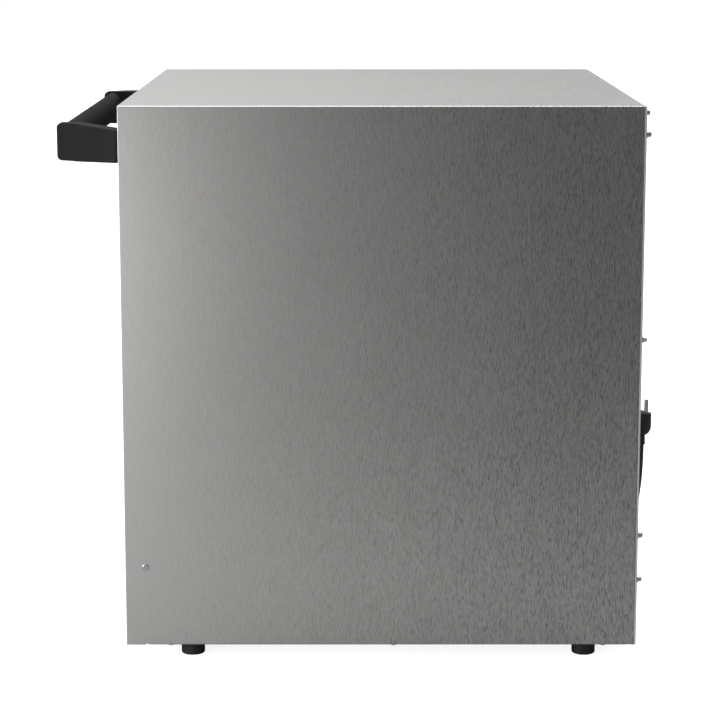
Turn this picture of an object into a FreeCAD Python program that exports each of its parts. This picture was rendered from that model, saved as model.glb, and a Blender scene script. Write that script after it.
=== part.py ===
"""Cabinet food dehydrator with a drop-down glass door, a rear fan and heater and sliding trays.

The frame has +X to the right, -Y to the front and +Z up, in millimetres, with its origin on the
floor at the middle of the object's box. Every size is a cell of the Sizes sheet.
"""

import FreeCAD, Part
import math
import os
import re
import Sketcher

V = FreeCAD.Vector
Rotation = FreeCAD.Rotation

SIZES = {
    # cabinet
    "width": 695.0,
    "depth": 600.0,
    "height": 636.0,
    "foot_height": 18.0,
    "handle_reach": 79.0,
    "rear_reach": 30.0,
    "gauge": 0.8,
    "bend": 2.0,
    "rear_gauge": 1.5,
    "rear_hem": 2.4,
    "rear_hem_width": 15.0,
    "rear_hem_round": 1.5,
    "rim": 12.0,
    "hem_width": 8.0,
    "notch_start": 23.0,
    "notch_width": 2.5,
    "notch_height": 2.0,
    "gap": 0.3,
    # fasteners
    "screw_radius": 1.7,
    "screw_hole": 1.8,
    "head_radius": 3.4,
    "head_height": 2.2,
    "washer_radius": 4.4,
    "washer_height": 1.8,
    "rear_head_height": 4.0,
    "screw_length": 8.0,
    "side_screw_inset": 6.0,
    "base_screw_front": 51.8,
    "base_screw_middle": 315.7,
    "base_screw_rear": 563.9,
    "base_screw_inset": 8.0,
    "rear_screw_low": 79.4,
    "rear_screw_second": 132.8,
    "rear_screw_third": 366.3,
    "rear_screw_high": 603.5,
    "top_screw_level": 627.0,
    "top_screw_spread": 324.0,
    # feet
    "foot_radius": 14.0,
    "foot_round": 2.2,
    "foot_inset": 30.0,
    "foot_front": 76.6,
    "foot_rear": 57.0,
    "foot_bore": 2.7,
    "foot_recess": 6.0,
    "foot_recess_depth": 8.0,
    "foot_screw_radius": 2.5,
    "foot_screw_head": 4.8,
    # door
    "pivot_back": 23.8,
    "pivot_level": 94.9,
    "pivot_head": 4.15,
    "pivot_head_height": 2.0,
    "pivot_radius": 3.0,
    "pivot_length": 18.0,
    "running_gap": 0.05,
    "bush_radius": 4.5,
    "bush_flange": 7.0,
    "bush_length": 12.0,
    "door_recess": 10.0,
    "door_depth": 26.0,
    "door_side_gap": 4.0,
    "door_drop": 12.0,
    "door_top_gap": 4.0,
    "door_gauge": 1.2,
    "window_side": 75.0,
    "window_low": 64.0,
    "window_high": 75.0,
    "glass_thick": 4.0,
    "glass_set": 1.5,
    "seal_inset": 13.5,
    "seal_width": 8.0,
    "seal_low": 20.0,
    "seal_high": 10.0,
    "magnet_near": 180.0,
    "magnet_far": 220.0,
    "magnet_height": 12.0,
    "magnet_top_gap": 22.0,
    "frame_back": 42.0,
    # handle
    "handle_low": 566.4,
    "bracket_height": 43.8,
    "bracket_drop": 3.7,
    "bracket_rise": 4.5,
    "bracket_tip": 272.0,
    "bracket_tip_inner": 254.0,
    "bracket_root": 338.0,
    "bracket_root_inner": 316.0,
    "bracket_tip_depth": 25.0,
    "bracket_round": 6.0,
    "bar_depth": 25.0,
    "bar_height": 36.0,
    "bar_level": 591.0,
    "handle_screw_radius": 2.4,
    "handle_screw_bore": 2.5,
    "handle_screw_head": 4.4,
    "handle_screw_x": 327.0,
    "handle_screw_spread": 20.0,
    "handle_screw_length": 14.0,
    # chamber
    "chamber_half": 320.0,
    "chamber_floor_level": 100.0,
    "chamber_roof_level": 616.0,
    "chamber_depth": 455.0,
    "mouth_half": 318.0,
    "mouth_low": 110.0,
    "mouth_high": 600.0,
    "ledge_reach": 20.0,
    "ledge_thick": 1.5,
    "ledge_first": 128.0,
    "tray_pitch": 60.0,
    "tray_count": 8.0,
    "tray_half": 315.0,
    "tray_depth": 370.0,
    "tray_setback": 53.5,
    "tray_rim": 14.0,
    "tray_rim_height": 5.0,
    "tray_sheet": 1.5,
    "slot_wide": 42.0,
    "slot_deep": 48.0,
    "slot_bar": 8.0,
    "slots_across": 12.0,
    "slots_back": 6.0,
    "drip_half": 300.0,
    "drip_height": 8.0,
    "baffle_set": 425.5,
    "grille_hole": 12.0,
    "grille_step": 19.0,
    "grille_count": 9.0,
    "vent_half": 265.0,
    "vent_wide": 30.0,
    "vent_high": 8.0,
    "vent_step": 40.0,
    "vent_count": 10.0,
    # fan, motor and heater
    "fan_level": 352.0,
    "motor_radius": 42.0,
    "motor_length": 62.0,
    "motor_set": 13.0,
    "motor_bore": 4.05,
    "shaft_radius": 4.0,
    "shaft_front": 46.0,
    "shaft_hole": 7.0,
    "blade_radius": 92.0,
    "blade_disc": 2.0,
    "blade_depth": 26.0,
    "blade_count": 8.0,
    "blade_root": 24.0,
    "hub_radius": 14.0,
    "hub_length": 16.0,
    "fan_back": 18.0,
    "nut_radius": 8.0,
    "nut_height": 6.0,
    "element_radius": 118.0,
    "element_tube": 3.5,
    "element_back": 30.0,
    "element_gap": 12.0,
    "element_leg": 50.0,
    "bracket_half": 55.0,
    "bracket_plate": 2.0,
    "post_radius": 4.0,
    "post_spread": 44.0,
    "probe_radius": 3.0,
    "probe_x": 190.0,
    "probe_level": 540.0,
    "probe_length": 75.0,
    # controls
    "fascia_top": 75.0,
    "fascia_low": 2.0,
    "fascia_half": 344.5,
    "lens_half": 45.0,
    "lens_height": 30.0,
    "lens_level": 24.0,
    "lens_thick": 2.5,
    "button_near": 100.0,
    "button_far": 132.0,
    "button_radius": 6.5,
    "button_flange": 8.5,
    "button_hole": 6.8,
    "button_level": 39.0,
    "button_proud": 3.0,
    "stem_radius": 2.5,
    "stem_length": 16.7,
    "switch_x": 270.0,
    "switch_half": 13.0,
    "switch_height": 26.0,
    "switch_depth": 26.0,
    "switch_rim": 1.8,
    "rocker_radius": 9.6,
    "rocker_half": 9.0,
    "rocker_back": 3.5,
    "rocker_tilt": 7.0,
    "board_half": 160.0,
    "board_height": 52.0,
    "board_level": 14.0,
    "board_back": 20.0,
    "board_thick": 1.6,
    "terminal_x": 225.0,
    "terminal_wide": 56.0,
    "terminal_deep": 22.0,
    "terminal_high": 18.0,
    # rear cover and cord hardware
    "cover_half": 100.0,
    "cover_low": 232.0,
    "cover_high": 462.0,
    "cover_flange": 12.0,
    "cover_round": 1.8,
    "louvre_wide": 120.0,
    "louvre_high": 5.0,
    "louvre_step": 14.0,
    "louvre_count": 11.0,
    "exhaust_wide": 36.0,
    "exhaust_high": 6.0,
    "exhaust_level": 520.0,
    "gland_x": 60.0,
    "gland_back": 15.5,
    "gland_flange": 9.0,
    "gland_flange_height": 3.0,
    "gland_top": 6.0,
    "gland_tip": 4.6,
    "gland_length": 34.0,
    "cord_diameter": 7.0,
    "coil_x": 98.0,
    "coil_level": 142.0,
    "coil_radius": 38.0,
    "coil_band": 14.0,
    "coil_depth": 21.0,
    "coil_back": 13.5,
    "post_stem": 5.0,
    "post_base": 11.0,
    "post_cap": 8.0,
    "post_plate": 1.4,
    "tie_height": 10.0,
    "tie_thick": 1.4,
    "plug_x": 247.5,
    "plug_back": 14.4,
    "plug_long": 15.5,
    "plug_short": 8.6,
    "plug_face": 261.3,
    "plug_height": 28.5,
    "plug_turn": 36.0,
    "relief_top": 5.4,
    "relief_tip": 4.3,
    "relief_height": 12.0,
    "pin_radius": 2.4,
    "pin_length": 16.0,
    "pin_spread": 9.3,
    "clip_gap": 0.2,
    "clip_wall": 2.2,
    "clip_height": 7.0,
}

FRONT = "(-(depth + rear_reach - handle_reach) / 2)"
REAR = f"({FRONT} + depth)"
PANEL_BACK = f"({REAR} + rear_gauge)"
HEM_BACK = f"({REAR} + rear_hem)"
BOTTOM = "foot_height"
TOP = "(foot_height + height)"
SIDE = "(width / 2)"
INSIDE = "(width / 2 - gauge)"
PLATE_TOP = "(foot_height + 2 * gauge)"

DOOR_FRONT = f"({FRONT} + door_recess)"
DOOR_BACK = f"({DOOR_FRONT} + door_depth)"
DOOR_SIDE = "(width / 2 - door_side_gap)"
PIVOT_Y = f"({FRONT} + pivot_back)"
PIVOT_Z = "(foot_height + pivot_level)"
DOOR_LOW = f"({PIVOT_Z} - door_drop)"
DOOR_HIGH = f"({TOP} - door_top_gap)"
WINDOW_SIDE = f"({DOOR_SIDE} - window_side)"
WINDOW_LOW = f"({DOOR_LOW} + window_low)"
WINDOW_HIGH = f"({DOOR_HIGH} - window_high)"

FRAME_FRONT = f"({FRONT} + frame_back)"
CHAMBER_FRONT = f"({FRAME_FRONT} + gauge)"
CHAMBER_BACK = f"({CHAMBER_FRONT} + chamber_depth)"
FLOOR = "(foot_height + chamber_floor_level)"
ROOF = "(foot_height + chamber_roof_level)"
TRAY_FRONT = f"({FRONT} + tray_setback)"
FAN_Z = "(foot_height + fan_level)"
BAFFLE = f"({FRONT} + baffle_set)"

HANDLE_FRONT = f"({FRONT} - handle_reach)"
HANDLE_LOW = "(foot_height + handle_low)"
HANDLE_HIGH = "(foot_height + handle_low + bracket_height)"

TURNS = {
    "x": Rotation(V(0, 1, 0), 90),
    "y": Rotation(V(1, 0, 0), -90),
    "z": Rotation(),
    "-x": Rotation(V(0, 1, 0), -90),
    "-y": Rotation(V(1, 0, 0), 90),
    "-z": Rotation(V(1, 0, 0), 180),
}
PLANES = {"x": "YZ_Plane", "y": "XZ_Plane", "z": "XY_Plane"}

doc = FreeCAD.newDocument("food_dehydrator")
sheet = doc.addObject("Spreadsheet::Sheet", "Sizes")
for row, (alias, number) in enumerate(SIZES.items(), 1):
    sheet.set(f"A{row}", alias.replace("_", " "))
    sheet.set(f"B{row}", str(number))
    sheet.setAlias(f"B{row}", alias)
doc.recompute()

kept = []


def formula(text):
    """The text with each alias given as a cell of the sheet."""
    return re.sub(
        r"[a-z][a-z0-9_]*", lambda m: f"Sizes.{m[0]}" if m[0] in SIZES else m[0], text
    )


def value(text):
    """What a formula comes to now."""
    return float(sheet.evalExpression(formula(text)))


def bind(thing, name, text):
    thing.setExpression(name, formula(text))


def place(thing, x, y, z, turn="z"):
    """Binds where a thing stands and turns its own Z along an axis."""
    thing.Placement = FreeCAD.Placement(V(), TURNS[turn])
    for axis, text in zip("xyz", (x, y, z)):
        bind(thing, f"Placement.Base.{axis}", text)
    return thing


def keep(thing, name):
    """Makes a thing the piece that its Label names."""
    thing.Label = name
    kept.append(thing)
    return thing


# ---- Part primitives and booleans


def block(name, x, y, z):
    """A box from a low and a high formula along each axis."""
    thing = doc.addObject("Part::Box", name)
    for side, (low, high) in zip(("Length", "Width", "Height"), (x, y, z)):
        bind(thing, side, f"({high}) - ({low})")
    return place(thing, x[0], y[0], z[0])


def rod(name, axis, centre, radius, length):
    """A cylinder that starts at centre and runs along axis."""
    thing = doc.addObject("Part::Cylinder", name)
    bind(thing, "Radius", radius)
    bind(thing, "Height", length)
    return place(thing, *centre, turn=axis)


def fuse(name, *things):
    thing = doc.addObject("Part::MultiFuse", name)
    thing.Shapes = list(things)
    return thing


def cut(name, base, *tools):
    thing = doc.addObject("Part::Cut", name)
    thing.Base = base
    thing.Tool = tools[0] if len(tools) == 1 else fuse(f"{name}_tools", *tools)
    return thing


def group(name, *things):
    thing = doc.addObject("Part::Compound", name)
    thing.Links = list(things)
    return thing


def mirrored(name, source):
    """The same piece on the other side of the middle plane."""
    thing = doc.addObject("Part::Mirroring", name)
    thing.Source = source
    thing.Normal = V(1, 0, 0)
    return thing


def copies(name, master, places, turn="z"):
    """One group of links to a master piece, one for each place."""
    links = []
    for number, (x, y, z) in enumerate(places, 1):
        link = doc.addObject("App::Link", f"{name}_{number}")
        link.LinkedObject = master
        links.append(place(link, x, y, z, turn))
    return group(name, *links)


# ---- PartDesign bodies and sketches


def new_body(name, x="0", y="0", z="0", turn="z"):
    return place(doc.addObject("PartDesign::Body", name), x, y, z, turn)


def new_sketch(body, name, normal, level="0"):
    """A sketch on one of the body's origin planes, moved along its normal axis."""
    sketch = body.newObject("Sketcher::SketchObject", name)
    origin = body.Origin.OriginFeatures
    support = next(f for f in origin if f.Role == PLANES[normal])
    sketch.AttachmentSupport = [(support, "")]
    sketch.MapMode = "FlatFace"
    sign = "-1 * " if normal == "y" else ""
    bind(sketch, "AttachmentOffset.Base.z", f"{sign}({level})")
    return sketch


def fix(sketch, kind, where, text):
    """A driving constraint whose value follows a formula."""
    number = sketch.addConstraint(Sketcher.Constraint(kind, *where, value(text)))
    bind(sketch, f"Constraints[{number}]", text)


def polygon(sketch, points):
    """A closed outline through points given as pairs of formulas."""
    first = sketch.GeometryCount
    at = [V(value(u), value(v), 0) for u, v in points]
    count = len(points)
    lines = [Part.LineSegment(at[n], at[(n + 1) % count]) for n in range(count)]
    sketch.addGeometry(lines, False)
    for n, (u, v) in enumerate(points):
        following = first + (n + 1) % count
        sketch.addConstraint(
            Sketcher.Constraint("Coincident", first + n, 2, following, 1)
        )
        fix(sketch, "DistanceX", (-1, 1, first + n, 1), u)
        fix(sketch, "DistanceY", (-1, 1, first + n, 1), v)


def circle(sketch, u, v, radius):
    shape = Part.Circle(V(value(u), value(v), 0), V(0, 0, 1), value(radius))
    number = sketch.addGeometry(shape, False)
    fix(sketch, "Radius", (number,), radius)
    fix(sketch, "DistanceX", (-1, 1, number, 3), u)
    fix(sketch, "DistanceY", (-1, 1, number, 3), v)


def outer_corner(sketch, sign, level, radius):
    """The sliver outside a round corner at the foot of a side wall, as a closed outline."""
    edge = f"{sign} * {SIDE}"
    inner = f"{edge} - {sign} * {radius}"
    upper = f"{level} + {radius}"
    corner, side, under = ((edge, level), (edge, upper), (inner, level))
    at = [V(value(u), value(v), 0) for u, v in (corner, side, under)]
    centre = V(value(inner), value(upper), 0)
    angles = (-math.pi / 2, 0) if sign > 0 else (math.pi, 1.5 * math.pi)
    first = sketch.GeometryCount
    lines = [Part.LineSegment(at[2], at[0]), Part.LineSegment(at[0], at[1])]
    round_side = Part.ArcOfCircle(Part.Circle(centre, V(0, 0, 1), value(radius)), *angles)
    sketch.addGeometry([*lines, round_side], False)
    side_end, under_end = (2, 1) if sign > 0 else (1, 2)
    sketch.addConstraint(Sketcher.Constraint("Coincident", first, 2, first + 1, 1))
    sketch.addConstraint(Sketcher.Constraint("Coincident", first + 1, 2, first + 2, side_end))
    sketch.addConstraint(Sketcher.Constraint("Coincident", first, 1, first + 2, under_end))
    for line, end, (u, v) in ((0, 2, corner), (1, 2, side), (0, 1, under)):
        fix(sketch, "DistanceX", (-1, 1, first + line, end), u)
        fix(sketch, "DistanceY", (-1, 1, first + line, end), v)
    fix(sketch, "Radius", (first + 2,), radius)


def rectangle(low_u, high_u, low_v, high_v):
    return [(low_u, low_v), (high_u, low_v), (high_u, high_v), (low_u, high_v)]


def pad(body, sketch, length, normal):
    """Pads a sketch towards the positive side of its axis."""
    feature = body.newObject("PartDesign::Pad", f"{sketch.Name}_pad")
    feature.Profile = sketch
    feature.Reversed = normal == "y"
    bind(feature, "Length", length)
    return feature


def pocket(body, sketch, length=None, normal="z"):
    """Cuts a sketch right through, or so far towards the positive side of its axis."""
    feature = body.newObject("PartDesign::Pocket", f"{sketch.Name}_cut")
    feature.Profile = sketch
    if length is None:
        feature.Type = "ThroughAll"
        feature.Midplane = True
    else:
        feature.Reversed = normal != "y"
        bind(feature, "Length", length)
    return feature


def removes(body, make):
    """Runs make, and checks that it took material away."""
    doc.recompute()
    before = body.Shape.Volume
    feature = make()
    doc.recompute()
    if body.Shape.Volume >= before - 1e-3:
        raise RuntimeError(f"{feature.Name} cuts nothing")
    return feature


def plate(name, normal, low, high, outline, windows=(), holes=()):
    """A flat sheet across an axis, with windows (outlines) and round holes (u, v, radius)."""
    body = new_body(name)
    sketch = new_sketch(body, f"{name}_outline", normal, low)
    polygon(sketch, outline)
    for window in windows:
        polygon(sketch, window)
    for u, v, radius in holes:
        circle(sketch, u, v, radius)
    pad(body, sketch, f"({high}) - ({low})", normal)
    return body


def slots(body, normal, outline, across, up):
    """Cuts one slot through a sheet and repeats it; across and up are (step, count)."""
    number = sum(f.isDerivedFrom("PartDesign::LinearPattern") for f in body.Group)
    sketch = new_sketch(body, f"{body.Name}_slot_{number}", normal)
    polygon(sketch, outline)
    first = removes(body, lambda: pocket(body, sketch))
    pattern = body.newObject("PartDesign::LinearPattern", f"{sketch.Name}_grid")
    pattern.Originals = [first]
    pattern.Direction = (sketch, ["H_Axis"])
    pattern.Mode = "Spacing"
    bind(pattern, "Offset", across[0])
    bind(pattern, "Occurrences", across[1])
    pattern.Direction2 = (sketch, ["V_Axis"])
    pattern.Mode2 = "Spacing"
    bind(pattern, "Offset2", up[0])
    bind(pattern, "Occurrences2", up[1])
    body.Tip = pattern
    doc.recompute()
    return body


def turned(name, profile, x="0", y="0", z="0", turn="z"):
    """A turned piece: a profile of (radius, height) pairs about its own Z axis."""
    body = new_body(name, x, y, z, turn)
    sketch = new_sketch(body, f"{name}_profile", "y")
    polygon(sketch, profile)
    feature = body.newObject("PartDesign::Revolution", f"{name}_turn")
    feature.Profile = sketch
    feature.ReferenceAxis = (sketch, ["V_Axis"])
    return body


def round_edges(body, radius, test):
    """Fillets the edges whose middle point passes a test."""
    doc.recompute()
    base = body.Tip
    edges = []
    for number, edge in enumerate(base.Shape.Edges, 1):
        middle = edge.valueAt((edge.FirstParameter + edge.LastParameter) / 2)
        if test(edge, middle):
            edges.append(f"Edge{number}")
    if not edges:
        raise RuntimeError(f"{body.Name} has no such edge")
    feature = body.newObject("PartDesign::Fillet", f"{body.Name}_round_{len(body.Group)}")
    feature.Base = (base, edges)
    bind(feature, "Radius", radius)
    return feature


def near(a, b):
    return abs(a - b) < 0.01


# ---- cabinet


def outer_shell():
    """The top and both sides, one sheet bent over the cabinet, with its rims and hems."""
    body = new_body("outer_shell")
    sketch = new_sketch(body, "shell_block", "z", BOTTOM)
    polygon(sketch, rectangle(f"-{SIDE}", SIDE, FRONT, REAR))
    pad(body, sketch, "height", "z")
    side, rear, front = value(SIDE), value(REAR), value(FRONT)
    top, bottom = value(TOP), value(BOTTOM)

    def bent(edge, at):
        sides = near(abs(at.x), side)
        return sides and (near(at.z, top) or near(at.y, rear)) or near(at.y, rear) and near(at.z, top)

    round_edges(body, "bend", bent)
    doc.recompute()
    solid = body.Tip
    under = [
        f"Face{n}" for n, f in enumerate(solid.Shape.Faces, 1) if near(f.CenterOfMass.z, bottom)
    ]
    hollow = body.newObject("PartDesign::Thickness", "shell_hollow")
    hollow.Base = (solid, under)
    hollow.Reversed = True
    hollow.Join = "Intersection"
    bind(hollow, "Value", "gauge")
    doc.recompute()

    mouth = new_sketch(body, "shell_mouth", "y", f"{FRONT} - 1")
    inner = f"({SIDE} - 2 * gauge)"
    polygon(mouth, rectangle(f"-{inner}", inner, f"{BOTTOM} - 1", f"{TOP} - 2 * gauge"))
    removes(body, lambda: pocket(body, mouth, "gauge + 1", "y"))
    back = new_sketch(body, "shell_back", "y", f"{REAR} - gauge - 1")
    rim = f"({SIDE} - rim)"
    polygon(back, rectangle(f"-{rim}", rim, f"{BOTTOM} - 1", f"{TOP} - rim"))
    removes(body, lambda: pocket(body, back, "gauge + 2", "y"))

    hem = new_sketch(body, "shell_hem", "y", FRONT)
    inside_top = f"({TOP} - gauge)"
    polygon(
        hem,
        [
            (f"-{INSIDE}", BOTTOM),
            (f"-{inner}", BOTTOM),
            (f"-{inner}", f"{inside_top} - gauge"),
            (inner, f"{inside_top} - gauge"),
            (inner, BOTTOM),
            (INSIDE, BOTTOM),
            (INSIDE, inside_top),
            (f"-{INSIDE}", inside_top),
        ],
    )
    pad(body, hem, "hem_width", "y")

    flange = new_sketch(body, "shell_flanges", "z", BOTTOM)
    start = f"{FRONT} + notch_start + notch_width"
    for a, b in ((f"-{SIDE}", f"-{rim}"), (rim, SIDE)):
        polygon(flange, rectangle(a, b, start, f"{REAR} - bend"))
    pad(body, flange, "gauge", "z")
    notch = new_sketch(body, "shell_notches", "x")
    low = f"{FRONT} + notch_start"
    edge = f"{BOTTOM} + notch_height"
    polygon(notch, rectangle(low, f"{low} + notch_width", f"{BOTTOM} - 1", edge))
    removes(body, lambda: pocket(body, notch))

    folds = new_sketch(body, "shell_folds", "y", start)
    for sign in (1, -1):
        outer_corner(folds, sign, BOTTOM, "bend * 0.9")
    removes(body, lambda: pocket(body, folds, "depth - notch_start - notch_width - bend", "y"))

    def fronts(edge, at):
        return near(at.y, front) and (near(abs(at.x), side) or near(at.z, top)) and edge.Length > 100

    round_edges(body, "gauge * 0.9", fronts)

    pins = new_sketch(body, "shell_pivots", "x")
    circle(pins, PIVOT_Y, PIVOT_Z, "pivot_radius + running_gap")
    removes(body, lambda: pocket(body, pins))
    under_holes = new_sketch(body, "shell_base_holes", "z", f"{BOTTOM} - 1")
    for x, y, _ in base_screw_places():
        circle(under_holes, x, y, "screw_hole")
    removes(body, lambda: pocket(body, under_holes, "gauge + 2", "z"))
    back_holes = new_sketch(body, "shell_rear_holes", "y", f"{REAR} - gauge - 1")
    for x, _, z in rear_screw_places():
        circle(back_holes, x, z, "screw_hole")
    removes(body, lambda: pocket(body, back_holes, "gauge + 2", "y"))
    return keep(body, "outer_shell")


def base_screw_places():
    x = f"({SIDE} - base_screw_inset)"
    fronts = ("base_screw_front", "base_screw_middle", "base_screw_rear")
    return [(f"{s}{x}", f"{FRONT} + {y}", BOTTOM) for s in ("", "-") for y in fronts]


def rear_screw_places():
    x = f"({SIDE} - side_screw_inset)"
    levels = ("rear_screw_low", "rear_screw_second", "rear_screw_third", "rear_screw_high")
    sides = [(f"{s}{x}", HEM_BACK, f"{BOTTOM} + {z}") for s in ("", "-") for z in levels]
    spread = ("-top_screw_spread", "0", "top_screw_spread")
    return sides + [(x, HEM_BACK, f"{BOTTOM} + top_screw_level") for x in spread]


def cover_screw_places():
    x = "(cover_half + cover_flange / 2)"
    y = f"{PANEL_BACK} + gauge"
    levels = ("cover_low + 30", "cover_high - 30")
    return [(f"{s}{x}", y, f"{BOTTOM} + {z}") for s in ("", "-") for z in levels]


def foot_places():
    x = f"({SIDE} - foot_inset)"
    rows = (f"{FRONT} + foot_front", f"{REAR} - foot_rear")
    return [(f"{s}{x}", y, "0") for s in ("", "-") for y in rows]


def base_plate():
    """The floor of the cabinet, screwed to the shell's flanges, with air inlet slots."""
    side = f"({INSIDE} - gauge)"
    outline = rectangle(f"-{side}", side, f"{DOOR_FRONT} + 2 * gauge", f"{REAR} - 2 * gauge")
    holes = [(x, y, "screw_hole") for x, y, _ in base_screw_places()]
    holes += [(x, y, "foot_bore") for x, y, _ in foot_places()]
    low = f"{BOTTOM} + gauge"
    body = plate("base_plate", "z", low, PLATE_TOP, outline, holes=holes)
    slot = rectangle("-vent_step * 4.5", "-vent_step * 4.5 + vent_wide", "60", "60 + vent_high")
    slots(body, "z", slot, ("vent_step", "9"), ("20", "5"))
    return keep(body, "base_plate")


def rear_panel():
    """The back sheet with its thick folded hem, screw holes, air hole and exhaust slots."""
    side = f"({SIDE} - gauge)"
    outline = rectangle(f"-{side}", side, BOTTOM, f"{TOP} - gauge")
    holes = [(x, z, "screw_hole") for x, _, z in rear_screw_places() + cover_screw_places()]
    holes.append(("0", FAN_Z, "motor_radius * 1.3"))
    body = plate("rear_panel", "y", REAR, HEM_BACK, outline, holes=holes)
    field = new_sketch(body, "panel_field", "y", PANEL_BACK)
    inner = f"({side} - rear_hem_width)"
    low, high = f"{BOTTOM} + rear_hem_width", f"{TOP} - gauge - rear_hem_width"
    polygon(field, rectangle(f"-{inner}", inner, low, high))
    removes(body, lambda: pocket(body, field, "rear_hem", "y"))
    back, wide = value(HEM_BACK), value(side)
    foot, head = value(BOTTOM), value(f"{TOP} - gauge")

    def hem(edge, at):
        rim = near(abs(at.x), wide) or near(at.z, foot) or near(at.z, head)
        return near(at.y, back) and rim

    round_edges(body, "rear_hem_round", hem)
    low = f"{BOTTOM} + exhaust_level"
    start = "-exhaust_wide * 3.5"
    slot = rectangle(start, f"{start} + exhaust_wide", low, f"{low} + exhaust_high")
    slots(body, "y", slot, ("exhaust_wide * 1.5", "5"), ("exhaust_high * 2.5", "4"))
    return keep(body, "rear_panel")


def front_frame():
    """The sheet ring round the chamber's mouth that the door's seal closes on."""
    side = f"({INSIDE} - gauge)"
    outline = rectangle(f"-{side}", side, f"{BOTTOM} + fascia_top + 3", f"{TOP} - 2 * gauge")
    mouth = rectangle(
        "-mouth_half", "mouth_half", f"{BOTTOM} + mouth_low", f"{BOTTOM} + mouth_high"
    )
    body = plate("front_frame", "y", FRAME_FRONT, CHAMBER_FRONT, outline, [mouth])
    return keep(body, "front_frame")


def chamber_wall():
    """A side wall of the drying chamber with pressed ledges for the trays, on the +X side."""
    body = new_body("chamber_wall_right")
    sheet_sketch = new_sketch(body, "wall_sheet", "x", "chamber_half")
    polygon(sheet_sketch, rectangle(CHAMBER_FRONT, CHAMBER_BACK, FLOOR, ROOF))
    pad(body, sheet_sketch, "gauge", "x")
    ledge = new_sketch(body, "wall_ledge", "x", "chamber_half - ledge_reach")
    top = f"{BOTTOM} + ledge_first"
    back = f"{TRAY_FRONT} + tray_depth"
    polygon(ledge, rectangle(TRAY_FRONT, back, f"{top} - ledge_thick", top))
    first = pad(body, ledge, "ledge_reach", "x")
    pattern = body.newObject("PartDesign::LinearPattern", "wall_ledges")
    pattern.Originals = [first]
    pattern.Direction = (ledge, ["V_Axis"])
    pattern.Mode = "Spacing"
    bind(pattern, "Offset", "tray_pitch")
    bind(pattern, "Occurrences", "tray_count")
    body.Tip = pattern
    keep(body, "chamber_wall_right")
    return keep(mirrored("chamber_wall_mirror", body), "chamber_wall_left")


def chamber():
    """The flat sheets of the drying chamber."""
    outer = "(chamber_half + gauge)"
    for name, low, high in (
        ("chamber_floor", f"{FLOOR} - gauge", FLOOR),
        ("chamber_ceiling", ROOF, f"{ROOF} + gauge"),
    ):
        outline = rectangle(f"-{outer}", outer, CHAMBER_FRONT, CHAMBER_BACK)
        keep(plate(name, "z", low, high, outline), name)
    outline = rectangle(f"-{outer}", outer, f"{FLOOR} - gauge", f"{ROOF} + gauge")
    leg = f"{FAN_Z} - element_radius"
    holes = [
        ("0", FAN_Z, "shaft_hole"),
        ("-element_gap", leg, "element_tube + 1"),
        ("element_gap", leg, "element_tube + 1"),
        ("probe_x", f"{BOTTOM} + probe_level", "probe_radius + 0.5"),
    ]
    back = f"({CHAMBER_BACK} + gauge)"
    keep(
        plate("chamber_rear_wall", "y", CHAMBER_BACK, back, outline, holes=holes),
        "chamber_rear_wall",
    )
    chamber_wall()


def air_baffle():
    """The perforated sheet in front of the fan: an inlet grille and side outlets."""
    side = "(chamber_half - 0.5)"
    outline = rectangle(f"-{side}", side, f"{FLOOR} + 0.5", f"{ROOF} - 0.5")
    body = plate("air_baffle", "y", BAFFLE, f"{BAFFLE} + gauge", outline)
    low = f"{FAN_Z} - grille_step * 4 - grille_hole / 2"
    start = "-grille_step * 4 - grille_hole / 2"
    hole = rectangle(start, f"{start} + grille_hole", low, f"{low} + grille_hole")
    slots(body, "y", hole, ("grille_step", "grille_count"), ("grille_step", "grille_count"))
    low = f"{BOTTOM} + ledge_first + vent_high"
    vent = rectangle("-vent_half", "-vent_half + vent_wide", low, f"{low} + vent_high")
    slots(body, "y", vent, ("vent_half * 2 - vent_wide", "2"), ("vent_step", "vent_count"))
    return keep(body, "air_baffle")


def drip_tray():
    """The shallow pan that lies on the chamber floor."""
    low = f"({FLOOR} + gap)"
    back = f"{TRAY_FRONT} + tray_depth"
    outer = block(
        "drip_block",
        ("-drip_half", "drip_half"),
        (TRAY_FRONT, back),
        (low, f"{low} + drip_height"),
    )
    inner = block(
        "drip_hollow",
        ("-drip_half + gauge", "drip_half - gauge"),
        (f"{TRAY_FRONT} + gauge", f"{back} - gauge"),
        (f"{low} + gauge", f"{low} + drip_height + 1"),
    )
    return keep(cut("drip_pan", outer, inner), "drip_tray")


def trays():
    """The perforated drying trays, one master and a link for each level."""
    master = new_body("tray_master")
    outline = new_sketch(master, "tray_edge", "z")
    polygon(outline, rectangle("-tray_half", "tray_half", "0", "tray_depth"))
    pad(master, outline, "tray_rim_height", "z")
    hollow = new_sketch(master, "tray_hollow", "z", "tray_sheet")
    inner = "(tray_half - gauge * 2)"
    polygon(hollow, rectangle(f"-{inner}", inner, "gauge * 2", "tray_depth - gauge * 2"))
    removes(master, lambda: pocket(master, hollow, "tray_rim_height", "z"))
    start = "-tray_half + tray_rim + 2.5"
    first = rectangle(start, f"{start} + slot_wide", "tray_rim + 7", "tray_rim + 7 + slot_deep")
    across = ("slot_wide + slot_bar", "slots_across")
    slots(master, "z", first, across, ("slot_deep + slot_bar", "slots_back"))
    for number in range(1, int(SIZES["tray_count"]) + 1):
        link = doc.addObject("App::Link", f"tray_link_{number}")
        link.LinkedObject = master
        level = f"{BOTTOM} + ledge_first + tray_pitch * {number - 1} + gap"
        place(link, "0", TRAY_FRONT, level)
        keep(link, f"tray_{number:02d}")


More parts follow.
